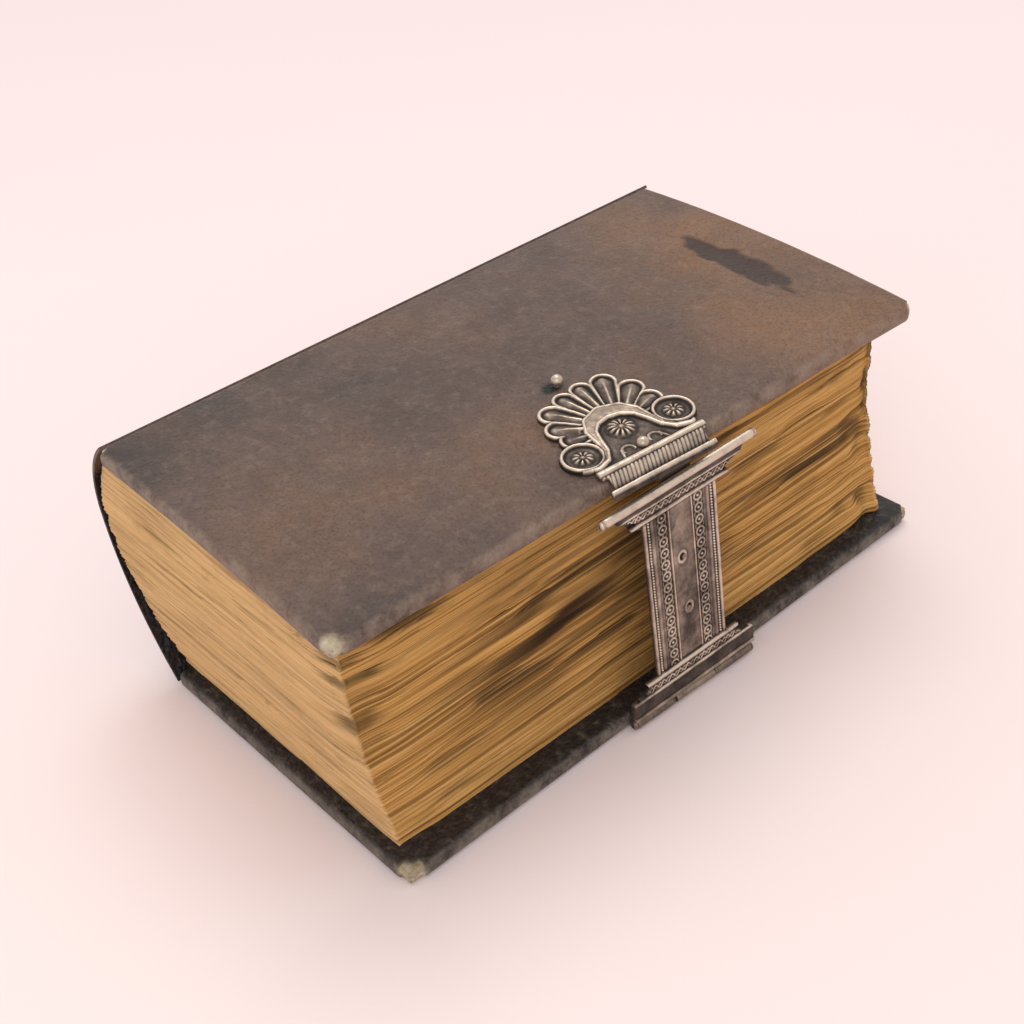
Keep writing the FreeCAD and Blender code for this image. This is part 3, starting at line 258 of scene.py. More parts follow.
# painted shade between the leaves, where a leaf sits back from its neighbours
PAGE_GAP_SHADE = srgb(40, 26, 12)
SILVER_BRIGHT = srgb(212, 194, 176)
SILVER_MID = srgb(150, 134, 120)
SILVER_DULL = srgb(98, 86, 78)
SILVER_DARK = srgb(50, 45, 42)
# painted shade in the cloth's folds
CLOTH_FOLD_SHADE = srgb(238, 222, 220)
CLOTH_PALE = srgb(242, 227, 226)
# painted shade far behind the book, against the key lamp's brighter light there
CLOTH_FAR_SHADE = srgb(229, 213, 214)


def leather(name, dark, mid, warm, worn, brown_above=None):
    """Goat leather with a fine grain, dark streaks and paler worn places."""
    s = Shader(name)
    large = s.noise(22.0, 5.0, 0.6, warp=0.4)
    fine = s.noise(420.0, 3.0, 0.6)
    tone = s.math("ADD", s.math("MULTIPLY", large, 0.55), s.math("MULTIPLY", s.attribute("warm"), 0.45))
    colour = s.ramp(tone, (0.28, dark), (0.47, mid), (0.68, warm))
    streak = s.noise(60.0, 6.0, 0.7, where=s.stretched((1.0, 0.25, 1.0)))
    colour = s.mix(s.span(streak, 0.55, 0.75, 0.0, 0.35), colour, dark)
    colour = s.mix(s.span(fine, 0.5, 0.75, 0.0, 0.3), colour, worn)
    speck = s.noise(1500.0, 4.0, 0.75)
    colour = s.mix(s.span(speck, 0.5, 0.64, 0.0, 0.62), colour, dark)
    scratch = s.noise(90.0, 2.0, 0.5, where=s.stretched((0.12, 1.0, 1.0)), warp=0.5)
    colour = s.mix(s.span(scratch, 0.7, 0.78, 0.0, 0.4), colour, worn)
    rubbed = s.math("MULTIPLY", s.attribute("rub"), s.span(s.noise(180.0, 5.0, 0.7), 0.35, 0.6))
    colour = s.mix(rubbed, colour, worn)
    colour = s.mix(s.attribute("peel"), colour, PEELED_BROWN)
    cream = s.ramp(s.noise(260.0, 4.0), (0.3, BOARD_GREY), (0.6, BOARD_CREAM))
    colour = s.mix(s.attribute("bare"), colour, cream)
    # painted shade in the pin hole
    colour = s.mix(s.attribute("pin_hole_shade"), colour, PIN_HOLE_SHADE)
    if brown_above is not None:
        over = s.span(s.parts()["Z"], brown_above, brown_above + 0.002)
        colour = s.mix(over, colour, LEATHER_MID)
    grain = s.cells(950.0)
    pores = s.noise(1500.0, 3.0, 0.6)
    height = s.math("ADD", s.math("MULTIPLY", grain, 0.7), s.math("MULTIPLY", pores, 0.5))
    normal = s.bump(height, 0.0006, 1.0)
    normal = s.bump(s.noise(260.0, 5.0, 0.65), 0.0007, 0.6, under=normal)
    rough = s.span(s.noise(90.0, 4.0), 0.3, 0.7, 0.42, 0.62)
    return s.finish(colour, rough, normal, Specular_IOR_Level=0.32)


def silver(name, bright=0.0):
    """Old silver: black in the hollows, warm and bright where it is rubbed."""
    s = Shader(name)
    hollow = s.math("SUBTRACT", s.attribute("hollow"), bright)
    cloud = s.noise(230.0, 5.0, 0.65, warp=0.3)
    tone = s.math("SUBTRACT", s.span(cloud, 0.3, 0.7, 0.38, 0.74), s.math("MULTIPLY", hollow, 0.6))
    colour = s.ramp(
        tone, (0.0, SILVER_DARK), (0.35, SILVER_DULL), (0.62, SILVER_MID), (0.95, SILVER_BRIGHT)
    )
    scratches = s.noise(500.0, 3.0, 0.5, where=s.stretched((1.0, 6.0, 1.0)))
    normal = s.bump(scratches, 0.00008, 0.25)
    normal = s.bump(s.noise(900.0, 3.0, 0.6), 0.00012, 0.3, under=normal)
    rough = s.span(tone, 0.1, 0.8, 0.62, 0.34)
    return s.finish(colour, rough, normal, Metallic=0.85)


def paper_edges(name):
    """Edges of old leaves: tan to ochre with dark stains along the leaves, painted shade where leaves sit
    back, and a dark fore-edge patch of dirt and painted strap shadow.
    """
    s = Shader(name)
    along = s.math("MULTIPLY", s.attribute("along"), 0.06)
    across = s.math("MULTIPLY", s.attribute("leaf"), 2.2)
    grid = s.fill(s.add("ShaderNodeCombineXYZ"), X=along, Y=across)
    lines = s.noise(1.0, 5.0, 0.7, where=grid.outputs["Vector"])
    patch = s.noise(26.0, 4.0, 0.6, where=s.stretched((1.0, 1.0, 2.6)), warp=0.5)
    colour = s.ramp(
        s.math("ADD", s.math("MULTIPLY", lines, 0.5), s.math("MULTIPLY", s.attribute("tint"), 0.5)),
        (0.25, PAGE_SHADE),
        (0.5, PAGE_MID),
        (0.75, PAGE_LIGHT),
    )
    tail = s.math("SUBTRACT", 1.0, s.attribute("fore"))
    colour = s.mix(s.math("MULTIPLY", tail, 0.5), colour, PAGE_TAIL)
    colour = s.mix(s.span(patch, 0.54, 0.74, 0.0, 0.45), colour, PAGE_PATCH)
    # dark fore-edge patch: part dirt stain, part painted shadow of the strap
    colour = s.mix(s.attribute("soil_and_strap_shadow"), colour, PAGE_SOIL_AND_SHADOW)
    colour = s.mix(s.span(lines, 0.43, 0.33, 0.0, 0.8), colour, PAGE_STAIN)
    stain = s.noise(48.0, 5.0, 0.7, where=s.stretched((1.0, 0.6, 4.0)), warp=0.8)
    colour = s.mix(s.span(stain, 0.62, 0.76, 0.0, 0.6), colour, PAGE_STAIN)
    # painted shade on leaves that sit back between their neighbours
    colour = s.mix(s.attribute("depth"), colour, PAGE_GAP_SHADE)
    fibres = s.noise(700.0, 4.0, 0.7, where=s.stretched((1.0, 1.0, 3.0)))
    normal = s.bump(fibres, 0.0002, 0.5)
    return s.finish(colour, 0.85, normal, Specular_IOR_Level=0.2)


def plain_paper(name):
    s = Shader(name)
    colour = s.ramp(s.noise(60.0, 5.0), (0.3, PAGE_MID), (0.7, PAGE_LIGHT))
    return s.finish(colour, 0.85, s.bump(s.noise(900.0, 4.0), 0.0001, 0.4), Specular_IOR_Level=0.2)


def pasteboard(name):
    s = Shader(name)
    layers = s.noise(80.0, 5.0, where=s.stretched((1.0, 1.0, 12.0)))
    colour = s.ramp(layers, (0.3, srgb(128, 104, 72)), (0.7, srgb(176, 156, 120)))
    return s.finish(colour, 0.9, s.bump(layers, 0.0003, 0.5), Specular_IOR_Level=0.2)


def hemp(name):
    s = Shader(name)
    strands = s.noise(500.0, 4.0, where=s.stretched((1.0, 3.0, 1.0)))
    colour = s.ramp(strands, (0.3, srgb(120, 98, 66)), (0.7, srgb(170, 148, 108)))
    return s.finish(colour, 0.9, s.bump(strands, 0.0003, 0.6))


def cloth(name):
    """The pale cloth under the book: faint soft folds with painted shade in them, and painted shade far
    behind that evens out the key lamp's brighter light there.
    """
    s = Shader(name)
    folds = s.noise(3.0, 3.0, 0.5, where=s.stretched((1.0, 0.35, 1.0)), warp=0.6)
    weave = s.noise(900.0, 2.0)
    # painted shade in the folds, darker where the fold noise is low
    tint = s.mix(s.span(folds, 0.3, 0.7), CLOTH_FOLD_SHADE, CLOTH_PALE)
    # painted shade far behind the book, darker towards +Y and -X, evening out the key lamp's brighter light
    # there
    parts = s.parts()
    back = s.math("SUBTRACT", parts["Y"], parts["X"])
    far_shade = s.span(back, -0.15, 0.75, 0.0, 1.0)
    tint = s.mix(far_shade, tint, CLOTH_FAR_SHADE)
    normal = s.bump(folds, 0.01, 0.25)
    normal = s.bump(weave, 0.0002, 0.1, under=normal)
    return s.finish(tint, 1.0, normal, Specular_IOR_Level=0.0)


FRONT_LEATHER = leather("front_leather_worn", LEATHER_DARK, LEATHER_MID, LEATHER_WARM, LEATHER_RUB)
BACK_LEATHER = leather(
    "back_leather_worn", srgb(20, 17, 17), srgb(32, 26, 24), srgb(46, 36, 31), srgb(128, 116, 104)
)
SPINE_BROWN_ABOVE = 0.058  # metres: from here up the spine has the front cover's brown
SPINE_LEATHER = leather(
    "spine_leather_worn", srgb(20, 18, 20), srgb(32, 29, 31), srgb(44, 40, 42), srgb(96, 90, 90),
    brown_above=SPINE_BROWN_ABOVE,
)
SILVER = silver("old_silver")
RUBBED_SILVER = silver("rubbed_silver", bright=0.5)
PAGE_EDGES = paper_edges("page_edges")
PAPER = plain_paper("old_paper")
PASTEBOARD = pasteboard("pasteboard")
HEMP = hemp("hemp")
CLOTH = cloth("pale_cloth")

FINISHES = {
    "back_leather": BACK_LEATHER,
    "front_leather": FRONT_LEATHER,
    "spine_leather": SPINE_LEATHER,
    "catch_rivets": RUBBED_SILVER,
    "back_board": PASTEBOARD,
    "front_board": PASTEBOARD,
    "back_pastedown": PAPER,
    "front_pastedown": PAPER,
    "spine_lining": PAPER,
    "text_block": PAGE_EDGES,
    "sewing_cords": HEMP,
}


def dress_nodes():
    """Gives every CAD node its material; what isn't listed is silver."""
    for name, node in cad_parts.items():
        node.data.materials.clear()
        node.data.materials.append(FINISHES.get(name, SILVER))


# Frames and sizes shared with the solids

BOARD_WIDTH = 92.0
BOARD_HEIGHT = 170.0
OUTER = 0.4
INNER = -4.0
CROWN = 1.3
COVER_HINGE = (-47.9, -1.5, 69.8)
COVER_TURN = -1.65
COVER_DIP = 1.19
COVER_LIFT = 0.31
BACK_HINGE = (-46.0, 0.0, 0.4)
CLASP_HINGE = (48.3, -1.0, 1.85)
CLASP_TURN = -2.2
STRAP_LEAN = -2.0
COVER = turned(COVER_HINGE, COVER_TURN, COVER_DIP, COVER_LIFT)
BACK = turned(BACK_HINGE, 0.0, 0.0, 180.0)
STRAP = turned(CLASP_HINGE, CLASP_TURN, STRAP_LEAN, 1.3)
KNUCKLES = turned(CLASP_HINGE, CLASP_TURN, STRAP_LEAN)
FAN_INSET = 10.9
FAN_X = BOARD_WIDTH - FAN_INSET


def crown(u, rise=CROWN):
    """Height of the arched board over its flat edges."""
    share = np.clip(u / BOARD_WIDTH, 0, 1)
    return rise * 4 * share * (1 - share)


def palmette_place():
    """On the arched leather, level with it at the palmette's middle."""
    slope = math.degrees(math.atan(CROWN * 4 * (2 * FAN_X / BOARD_WIDTH - 1) / BOARD_WIDTH))
    level = nested(COVER, (FAN_X, -0.9, OUTER + crown(FAN_X)), 0.0, slope)
    return nested(level, (0, 0, 0), -4.0)


PALMETTE = palmette_place()


# Covers: each leather is one skin, arched, worn at the corners and turned in

EDGE_ROUND = 1.5
EDGE_STEPS = 6
SKIN_STEP = 0.8
TURN_IN = 13.0
WINDOW_DEPTH = 0.5
HALF_HEIGHT = BOARD_HEIGHT / 2
HOLE_FROM_FAN = 22.6


def spaced(length):
    """Places across a cover, close together where its edges round over."""
    near = EDGE_ROUND * (1 - np.cos(np.linspace(0, math.pi / 2, EDGE_STEPS)))
    count = int((length - 2 * EDGE_ROUND) / SKIN_STEP)
    middle = np.linspace(EDGE_ROUND, length - EDGE_ROUND, count)
    return np.concatenate([near[:-1], middle, length - near[:-1][::-1]])


def corner_wear(u, v, corners):
    """From 0 to 1 towards the worn corners of a cover."""
    wear = np.zeros_like(u)
    for corner_u, corner_v, reach in corners:
        away = np.hypot(u - corner_u, v - corner_v) / reach
        ragged = 0.35 * cloudy(u * 0.55 + corner_v, v * 0.55, 21)
        wear = np.maximum(wear, smooth(1.15, 0.75, away + ragged))
    return wear


def peeled(u, v, peel_at):
    """1 where the top layer of the leather has come off, 0 elsewhere."""
    if peel_at is None:
        return np.zeros_like(u)
    peel_u, peel_v, half_u, half_v = peel_at
    away = np.hypot((u - peel_u) / half_u, (v - peel_v) / half_v)
    return smooth(1.08, 0.88, away + 0.45 * cloudy(u * 0.22, v * 0.4, 31))


def rounded(u, v):
    """A cover's points with its corners rounded, and how far its edges fall off."""
    over_u = np.clip(EDGE_ROUND - np.minimum(u, BOARD_WIDTH - u), 0, None)
    over_v = np.clip(EDGE_ROUND - (HALF_HEIGHT - np.abs(v)), 0, None)
    over = np.hypot(over_u, over_v)
    shrink = np.where(over > EDGE_ROUND, EDGE_ROUND / np.maximum(over, 1e-9), 1)
    low_u = EDGE_ROUND - over_u * shrink
    high_u = BOARD_WIDTH - EDGE_ROUND + over_u * shrink
    side_u = np.where(u < BOARD_WIDTH / 2, low_u, high_u)
    side_v = np.where(v < 0, -1, 1) * (HALF_HEIGHT - EDGE_ROUND + over_v * shrink)
    over = np.minimum(over, EDGE_ROUND)
    fall = EDGE_ROUND - np.sqrt(np.clip(EDGE_ROUND ** 2 - over ** 2, 0, None))
    return np.where(over_u > 0, side_u, u), np.where(over_v > 0, side_v, v), fall


def skin_faces(rows, columns):
    """Faces of the outer sheet, the inner one and the rim between them."""
    count = rows * columns
    faces = grid_faces(rows, columns) + grid_faces(rows, columns, count, flip=True)
    rim = border(rows, columns)
    for here, there in zip(rim, rim[1:] + rim[:1]):
        faces.append((there, here, here + count, there + count))
    return faces


def paint_leather(obj, u, v, within, wear, peel, rub_reach, shade_pin_hole):
    """Where the leather is rubbed, peeled, bare or warm, and the painted shade of the pin hole, on both
    sheets.
    """
    edge_rub = smooth(rub_reach, 0.1, within) * 0.8
    rub = np.clip(edge_rub + 0.22 * cloudy(u * 0.3, v * 0.3, 5), 0, 1)
    across = 0.5 + 0.42 * v / BOARD_HEIGHT + 0.22 * (u / BOARD_WIDTH - 0.5)
    warm = across + 0.3 * cloudy(u * 0.03, v * 0.03, 57)
    # painted shade of the pin hole beside the palmette, on the front cover only
    away = np.hypot(u - FAN_X + HOLE_FROM_FAN, (v + 0.9) * 0.8)
    pin_hole_shade = smooth(2.6, 1.5, away + 0.4 * cloudy(u, v, 63)) * shade_pin_hole
    layers = {"rub": (rub, 0.8), "peel": (peel, 0), "bare": (wear, 0.8), "warm": (warm, 1), "pin_hole_shade": (pin_hole_shade, 0)}
    for name, (values, inner_share) in layers.items():
        paint(obj, name, np.concatenate([values, values * inner_share]))


def cover_skin(name, nodes, body, place, material, rise, droop, corners, rub_reach, peel_at=None, seed=1):
    """Both faces and the rounded edges of one leather-covered board."""
    u, v = np.meshgrid(spaced(BOARD_WIDTH), spaced(BOARD_HEIGHT) - HALF_HEIGHT)
    faces = skin_faces(*u.shape)
    u, v = u.ravel(), v.ravel()
    within = np.minimum(np.minimum(u, BOARD_WIDTH - u), HALF_HEIGHT - np.abs(v))
    u, v, fall = rounded(u, v)
    share_u = u / BOARD_WIDTH
    share_v = v / BOARD_HEIGHT + 0.5
    sag = droop * np.clip(share_u + share_v - 1, 0, 1) ** 2
    wear = corner_wear(u, v, corners)
    arch = crown(u, rise) - sag
    wave = 0.10 * cloudy(u * 0.05, v * 0.05, seed) + 0.035 * cloudy(u * 0.4, v * 0.4, seed + 3)
    peel = peeled(u, v, peel_at)
    ragged = cloudy(u * 1.1, v * 1.1, seed + 9)
    top = OUTER + arch + wave - fall - 0.28 * peel - wear * (0.35 + 0.3 * ragged)
    window = WINDOW_DEPTH * smooth(TURN_IN - 0.2, TURN_IN + 0.2, within)
    rim_sag = sag * smooth(TURN_IN + 1.0, TURN_IN - 5.0, within)
    bottom = INNER + crown(u, rise) - rim_sag + fall + window + 0.4 * wave
    bottom = bottom + wear * 0.2 * (1 + ragged)
    bite = 0.5 * wear * smooth(2.5, 0.0, within) * (1 + ragged)
    u = u - np.sign(u - BOARD_WIDTH / 2) * bite
    v = v - np.sign(v) * bite
    points = np.concatenate([np.stack([u, v, top], 1), np.stack([u, v, bottom], 1)])
    obj = add_mesh(name, place.out(points), faces, material)
    paint_leather(obj, u, v, within, wear, peel, rub_reach, rise > 0)
    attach(obj, body)
    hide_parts(*nodes)


def border(rows, columns):
    """Numbers of a grid's outer points, once round."""
    index = np.arange(rows * columns).reshape(rows, columns)
    ring = [index[0, :-1], index[:-1, -1], index[-1, :0:-1], index[:0:-1, 0]]
    return np.concatenate(ring).tolist()


# Pages: a block of wavy leaves between the covers

PAGE_FLOOR = 4.43
WAIST = 30.0
LEVELS = 216
PAGE_STEP = 1.25
SPINE_APEX = 46.0
SPINE_BULGE = 16.0
SPINE_TAPER = 2.5
PAGE_BACK = 1.1
PAGE_GAP_ABOVE = 0.35
TAIL_SINK = 1.3
CAP_RINGS = 8
SPANS = np.array([98.0, 162.0, 96.0, 158.0])  # tail, fore edge, head and back, once round
TAIL, FORE, HEAD, SPINE = range(4)
OUTWARD = {TAIL: (0, -1), FORE: (1, 0), HEAD: (0, 1), SPINE: (-1, 0)}
MOST_OUT = 0.35
EDGE_CURVES = (  # y at the tail's and the head's ends, x at the fore edge's: floor, waist, top
    (-81.2, -84.3, -86.0), (-81.2, -84.3, -84.0), (78.5, 78.0, 75.6), (78.5, 78.2, 77.6),
    (38.6, 36.6, 37.0), (41.0, 37.6, 40.6),
)


def through_three(z, low, middle, high, top):
    """A smooth curve through its values at the floor, the waist and the top."""
    a, b, c = PAGE_FLOOR, WAIST, top
    return (
        low * (z - b) * (z - c) / ((a - b) * (a - c))
        + middle * (z - a) * (z - c) / ((b - a) * (b - c))
        + high * (z - a) * (z - b) / ((c - a) * (c - b))
    )


def spine_back(y, z):
    """How far back the leaves reach against the rounded spine."""
    bulge = SPINE_BULGE - SPINE_TAPER * (y / BOARD_HEIGHT + 0.5)
    apex = BACK_HINGE[0] - bulge
    top_x = COVER_HINGE[0] + (y - COVER_HINGE[1]) * math.tan(math.radians(-COVER_TURN))
    radii = []
    for end_x, end_z in ((top_x, COVER_HINGE[2]), (BACK_HINGE[0] + 0 * y, BACK_HINGE[2])):
        across = end_x - apex
        radii.append((across ** 2 + (end_z - SPINE_APEX) ** 2) / (2 * across))
    radius = np.where(z > SPINE_APEX, radii[0], radii[1])
    inner = radius - PAGE_BACK
    reach = np.sqrt(np.clip(inner ** 2 - (z - SPINE_APEX) ** 2, 0, None))
    return apex + radius - reach


def cover_underside(x, y):
    """Height of the front cover's inner face over a point of the back one."""
    u = x - COVER_HINGE[0]
    level = COVER_HINGE[2] + INNER - PAGE_GAP_ABOVE
    return level - 0.02077 * u + 0.00541 * (y - COVER_HINGE[1]) + crown(u)


def block_points(shares, along):
    """Points of the block's skin: a share of the height and a place around."""
    ends = np.cumsum(SPANS)
    side = np.searchsorted(ends, along, side="right")
    part = (along - (ends - SPANS)[side]) / SPANS[side]
    x = np.zeros_like(shares)
    y = np.zeros_like(shares)
    top = 65.0  # a first guess
    for _ in range(2):
        z = PAGE_FLOOR + shares * (top - PAGE_FLOOR)
        curves = [through_three(z, *values, top) for values in EDGE_CURVES]
        tail_fore_y, tail_back_y, head_fore_y, head_back_y, fore_tail, fore_head = curves
        corners = [
            (spine_back(tail_back_y, z) + TAIL_SINK, tail_back_y),
            (fore_tail, tail_fore_y),
            (fore_head, head_fore_y),
            (spine_back(head_back_y, z), head_back_y),
        ]
        for index in range(4):
            start, stop = corners[index], corners[(index + 1) % 4]
            here = side == index
            x = np.where(here, start[0] + (stop[0] - start[0]) * part, x)
            y = np.where(here, start[1] + (stop[1] - start[1]) * part, y)
        x = np.where(side == SPINE, spine_back(y, z), x)
        top = cover_underside(x, y)
    z = PAGE_FLOOR + shares * (top - PAGE_FLOOR)
    return x, y, z, side


class Leaves:
    """Which leaf each point of the block's skin is on, and how that leaf lies."""

    def __init__(self, share, along, side):
        self.share = share
        self.along = along
        self.side = side
        self.leaf = share * LEVELS
        self.whole = np.floor(self.leaf)
        self.near_corner = np.exp(-(((along - SPANS[0]) / 7.0) ** 2))
        self.far_corner = np.exp(-(((along - SPANS[:2].sum()) / 9.0) ** 2))
        self.bunch = np.floor(self.leaf / 9 + 1.2 * noise(along * 0.03, self.leaf * 0.02, 41))
        self.dog_ear = hashed(self.bunch, 2, 71)

    def depth(self):
        """How far each leaf stands out (above 0) or back (below 0)."""
        share, along, leaf = self.share, self.along, self.whole
        single = noise(along * 0.045 + 37 * hashed(leaf, 0, 3), leaf * 1.7, 43)
        group = noise(along * 0.03 + 19 * hashed(self.bunch, 0, 5), self.bunch * 1.3, 47)
        broad = noise(along * 0.02, share * 9, 51)
        depth = 0.28 * single + 0.3 * group + 0.18 * broad
        gap = (hashed(leaf, 1, 61) > 0.84) * smooth(-0.3, 0.5, noise(along * 0.04, leaf * 3.1, 63))
        depth = depth - 0.55 * gap
        upper = smooth(0.25, 0.6, share)
        depth = depth - self.near_corner * (0.35 + upper * (0.5 + 1.3 * self.dog_ear ** 2))
        torn = noise(along * 0.2, share * 9, 75) + 0.5 * noise(along * 0.3, share * 31, 76)
        depth = depth - self.far_corner * (0.9 + 1.2 * torn)
        hollow = smooth(0.1, -0.6, noise(along * 0.06, share * 14, 81)) * 0.5
        return depth - (self.side == FORE) * hollow

    def laid(self, x, y, z, depth):
        """The points moved by their leaves' depth and curl."""
        share, side = self.share, self.side
        seat = smooth(0, 0.012, share) * smooth(1, 0.988, share)
        push = np.where(side == SPINE, 0.0, np.minimum(depth, MOST_OUT)) - 0.25 * (1 - seat)
        for index, (out_x, out_y) in OUTWARD.items():
            x = x + np.where(side == index, out_x * push, 0)
            y = y + np.where(side == index, out_y * push, 0)
        corner_pull = self.near_corner * np.clip(-depth, 0, None)
        x = x - 0.7 * corner_pull * (side == TAIL)
        y = y + 0.7 * corner_pull * (side == FORE)
        curl = self.near_corner * (self.dog_ear - 0.5) * smooth(0.25, 0.6, share) * smooth(0.97, 0.85, share)
        return x, y, z - 0.8 * curl

    def paint(self, obj, y, z, depth, hidden):
        """Numbers for the page material; hidden is how many end points follow."""
        corner = np.maximum(self.near_corner, self.far_corner)
        # painted shade on leaves that sit back from their neighbours, weaker at the worn corners
        dark = smooth(-0.2, -1.0, depth + 0.9 * corner) * (0.9 - 0.45 * corner)
        fore = (self.side == FORE).astype(float)
        # a dark patch on the fore edge beside the strap, part dirt stain and part painted shadow of the
        # strap, plus a faint darkening over the whole fore edge
        soil_and_strap_shadow = 0.95 * np.exp(-(((y + 28) / 30) ** 2) - ((z - 34) / 18) ** 2) * fore
        soil_and_strap_shadow = soil_and_strap_shadow * smooth(-0.7, 0.5, noise(self.along * 0.05, self.share * 40, 95)) + 0.05 * fore
        layers = {
            "leaf": self.leaf,
            "along": self.along,
            "tint": hashed(self.whole, 5, 91),
            "fore": fore,
            "soil_and_strap_shadow": np.clip(soil_and_strap_shadow, 0, 1),
            # depth carries the painted shade of leaves that sit back
            "depth": dark,
        }
        for name, values in layers.items():
            paint(obj, name, np.append(values.ravel(), np.zeros(hidden)))


def end_face(points, columns, row, lower):
    """Rings that close the block below or above, along the inside of the cover."""
    rim = points[row * columns:(row + 1) * columns]
    rings = [rim]
    for ring in range(1, CAP_RINGS + 1):
        inner = rim * (1 - ring / (CAP_RINGS + 0.2))
        level = PAGE_FLOOR + 0 * inner[:, 0] if lower else cover_underside(inner[:, 0], inner[:, 1])
        blend = min(ring / 2, 1)
        inner[:, 2] = rim[:, 2] * (1 - blend) + level * blend
        rings.append(inner)
    start = len(points)
    points = np.vstack([points] + rings)
    core = list(range(len(points) - columns, len(points)))
    faces = grid_faces(len(rings), columns, start, flip=lower, wrap=True)
    return points, faces + [core[::-1] if lower else core]


def text_block():
    """The whole block of pages as one skin."""
    length = SPANS.sum()
    columns = int(length / PAGE_STEP)
    share, along = np.meshgrid(
        np.linspace(0, 1, LEVELS), np.arange(columns) * length / columns, indexing="ij"
    )
    x, y, z, side = block_points(share, along)
    leaves = Leaves(share, along, side)
    depth = leaves.depth()
    x, y, z = leaves.laid(x, y, z, depth)
    points = np.stack([x.ravel(), y.ravel(), z.ravel()], axis=1)
    faces = grid_faces(LEVELS, columns, wrap=True)
    for row, lower in ((0, True), (LEVELS - 1, False)):
        points, more = end_face(points, columns, row, lower)
        faces += more
    obj = add_mesh("leaves", points, faces, PAGE_EDGES)
    leaves.paint(obj, y, z, depth, len(points) - x.size)
    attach(obj, "pages")
    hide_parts("text_block")


# Silver reliefs: a height over each point of a sheet, cut along its outline

def capsule(x, y, start, stop, radius_start, radius_stop):
    """Signed distance to a bar with round ends of two sizes."""
    run = np.subtract(stop, start)
    length = math.hypot(*run)
    share = np.clip(((x - start[0]) * run[0] + (y - start[1]) * run[1]) / length ** 2, 0, 1)
    away = np.hypot(x - start[0] - share * run[0], y - start[1] - share * run[1])
    return away - (radius_start + (radius_stop - radius_start) * share)


def box(x, y, low_x, high_x, half_y):
    """Signed distance to an upright rectangle centred on y = 0."""
    off_x = np.abs(x - (low_x + high_x) / 2) - (high_x - low_x) / 2
    off_y = np.abs(y) - half_y
    outside = np.hypot(np.clip(off_x, 0, None), np.clip(off_y, 0, None))
    return outside + np.minimum(np.maximum(off_x, off_y), 0)


def ridge(distance, half_width):
    """A rounded moulding along the line where distance is 0."""
    share = np.clip(distance / half_width, -1, 1)
    return np.sqrt(np.clip(1 - share * share, 0, None))


def rosette(x, y, radius, petals, height):
    """Petals about a boss inside the given radius."""
    away = np.hypot(x, y)
    angle = np.arctan2(y, x)
    leaf = 0.55 + 0.45 * np.cos(petals * angle)
    span = np.clip(away / radius, 0, 1)
    petal = leaf ** 0.6 * np.sin(math.pi * np.clip(span * 1.05, 0, 1)) ** 0.7
    boss = ridge(away, radius * 0.3)
    return height * np.maximum(petal, boss) * (away < radius)


def blurred(values, reach):
    """The mean over a square of cells, made twice for a soft result."""
    kernel = np.ones(2 * reach + 1) / (2 * reach + 1)
    for _ in range(2):
        for axis in (0, 1):
            padded = np.pad(values, [(reach, reach) if a == axis else (0, 0) for a in (0, 1)], "edge")
            values = np.apply_along_axis(lambda line: np.convolve(line, kernel, "valid"), axis, padded)
    return values


def kept_cells(kept):
    """A grid's cells whose four points are kept, and the edges at their rim."""
    cell = kept[:-1, :-1] & kept[1:, :-1] & kept[:-1, 1:] & kept[1:, 1:]
    index = np.arange(kept.size).reshape(kept.shape)
    quads = np.stack([index[:-1, :-1], index[1:, :-1], index[1:, 1:], index[:-1, 1:]], -1)[cell]
    edges = np.concatenate([quads[:, [corner, (corner + 1) % 4]] for corner in range(4)])
    keys = edges[:, 0] * kept.size + edges[:, 1]
    back_keys = edges[:, 1] * kept.size + edges[:, 0]
    return quads, edges[~np.isin(keys, back_keys)]


HOLLOW_REACH = 0.55
FULL_TARNISH = 0.22


def relief(name, place, low, high, step, outline, height, floor, stain):
    """A silver sheet with a relief: cells inside the outline, its rim walled down."""
    x, y = np.meshgrid(np.arange(low[0], high[0], step), np.arange(low[1], high[1], step), indexing="ij")
    away = outline(x, y)
    slope_x, slope_y = np.gradient(away, step)
    pull = np.clip(away, 0, step * 1.5)
    x = x - pull * slope_x
    y = y - pull * slope_y
    top = height(x, y)
    hollow = blurred(top, max(2, int(HOLLOW_REACH / step))) - top + FULL_TARNISH * stain(x, y)
    quads, rim = kept_cells(away < step * 0.75)
    used = np.unique(quads)
    rim_points = np.unique(rim)
    top_index = np.full(x.size, -1)
    top_index[used] = np.arange(len(used))
    low_index = np.full(x.size, -1)
    low_index[rim_points] = np.arange(len(rim_points)) + len(used)
    tops = np.stack([layer.ravel()[used] for layer in (x, y, top)], 1)
    lows = np.stack([layer.ravel()[rim_points] for layer in (x, y, floor(x, y))], 1)
    start, end = rim.T
    walls = np.stack([top_index[end], top_index[start], low_index[start], low_index[end]], 1)
    faces = top_index[quads].tolist() + walls.tolist()
    obj = add_mesh(name, place(np.vstack([tops, lows])), faces, SILVER)
    tarnish = np.clip(hollow.ravel()[used] / FULL_TARNISH, -1, 1)
    paint(obj, "hollow", np.append(tarnish, np.full(len(rim_points), 0.6)))
    return obj


# The palmette plate on the front cover; +x to the fore edge, y to the head

LOBES = (
    (70.0, 15.1), (-74.0, 13.8), (48.0, 17.6), (-54.0, 16.2), (26.0, 20.2), (-33.0, 18.6),
    (7.0, 19.4), (-12.0, 18.8),
)
LOBE_HALF = 3.0
LOBE_NECK = 9.6
DISCS = ((2.4, 12.6), (3.2, -13.0))
DISC_RADIUS = 5.0
ARCH_OUTER = 9.2
FILLET_HALF = 14.3
LIP_REACH = 4.2
LIP_FALL = 2.7
REED_PITCH = 1.05


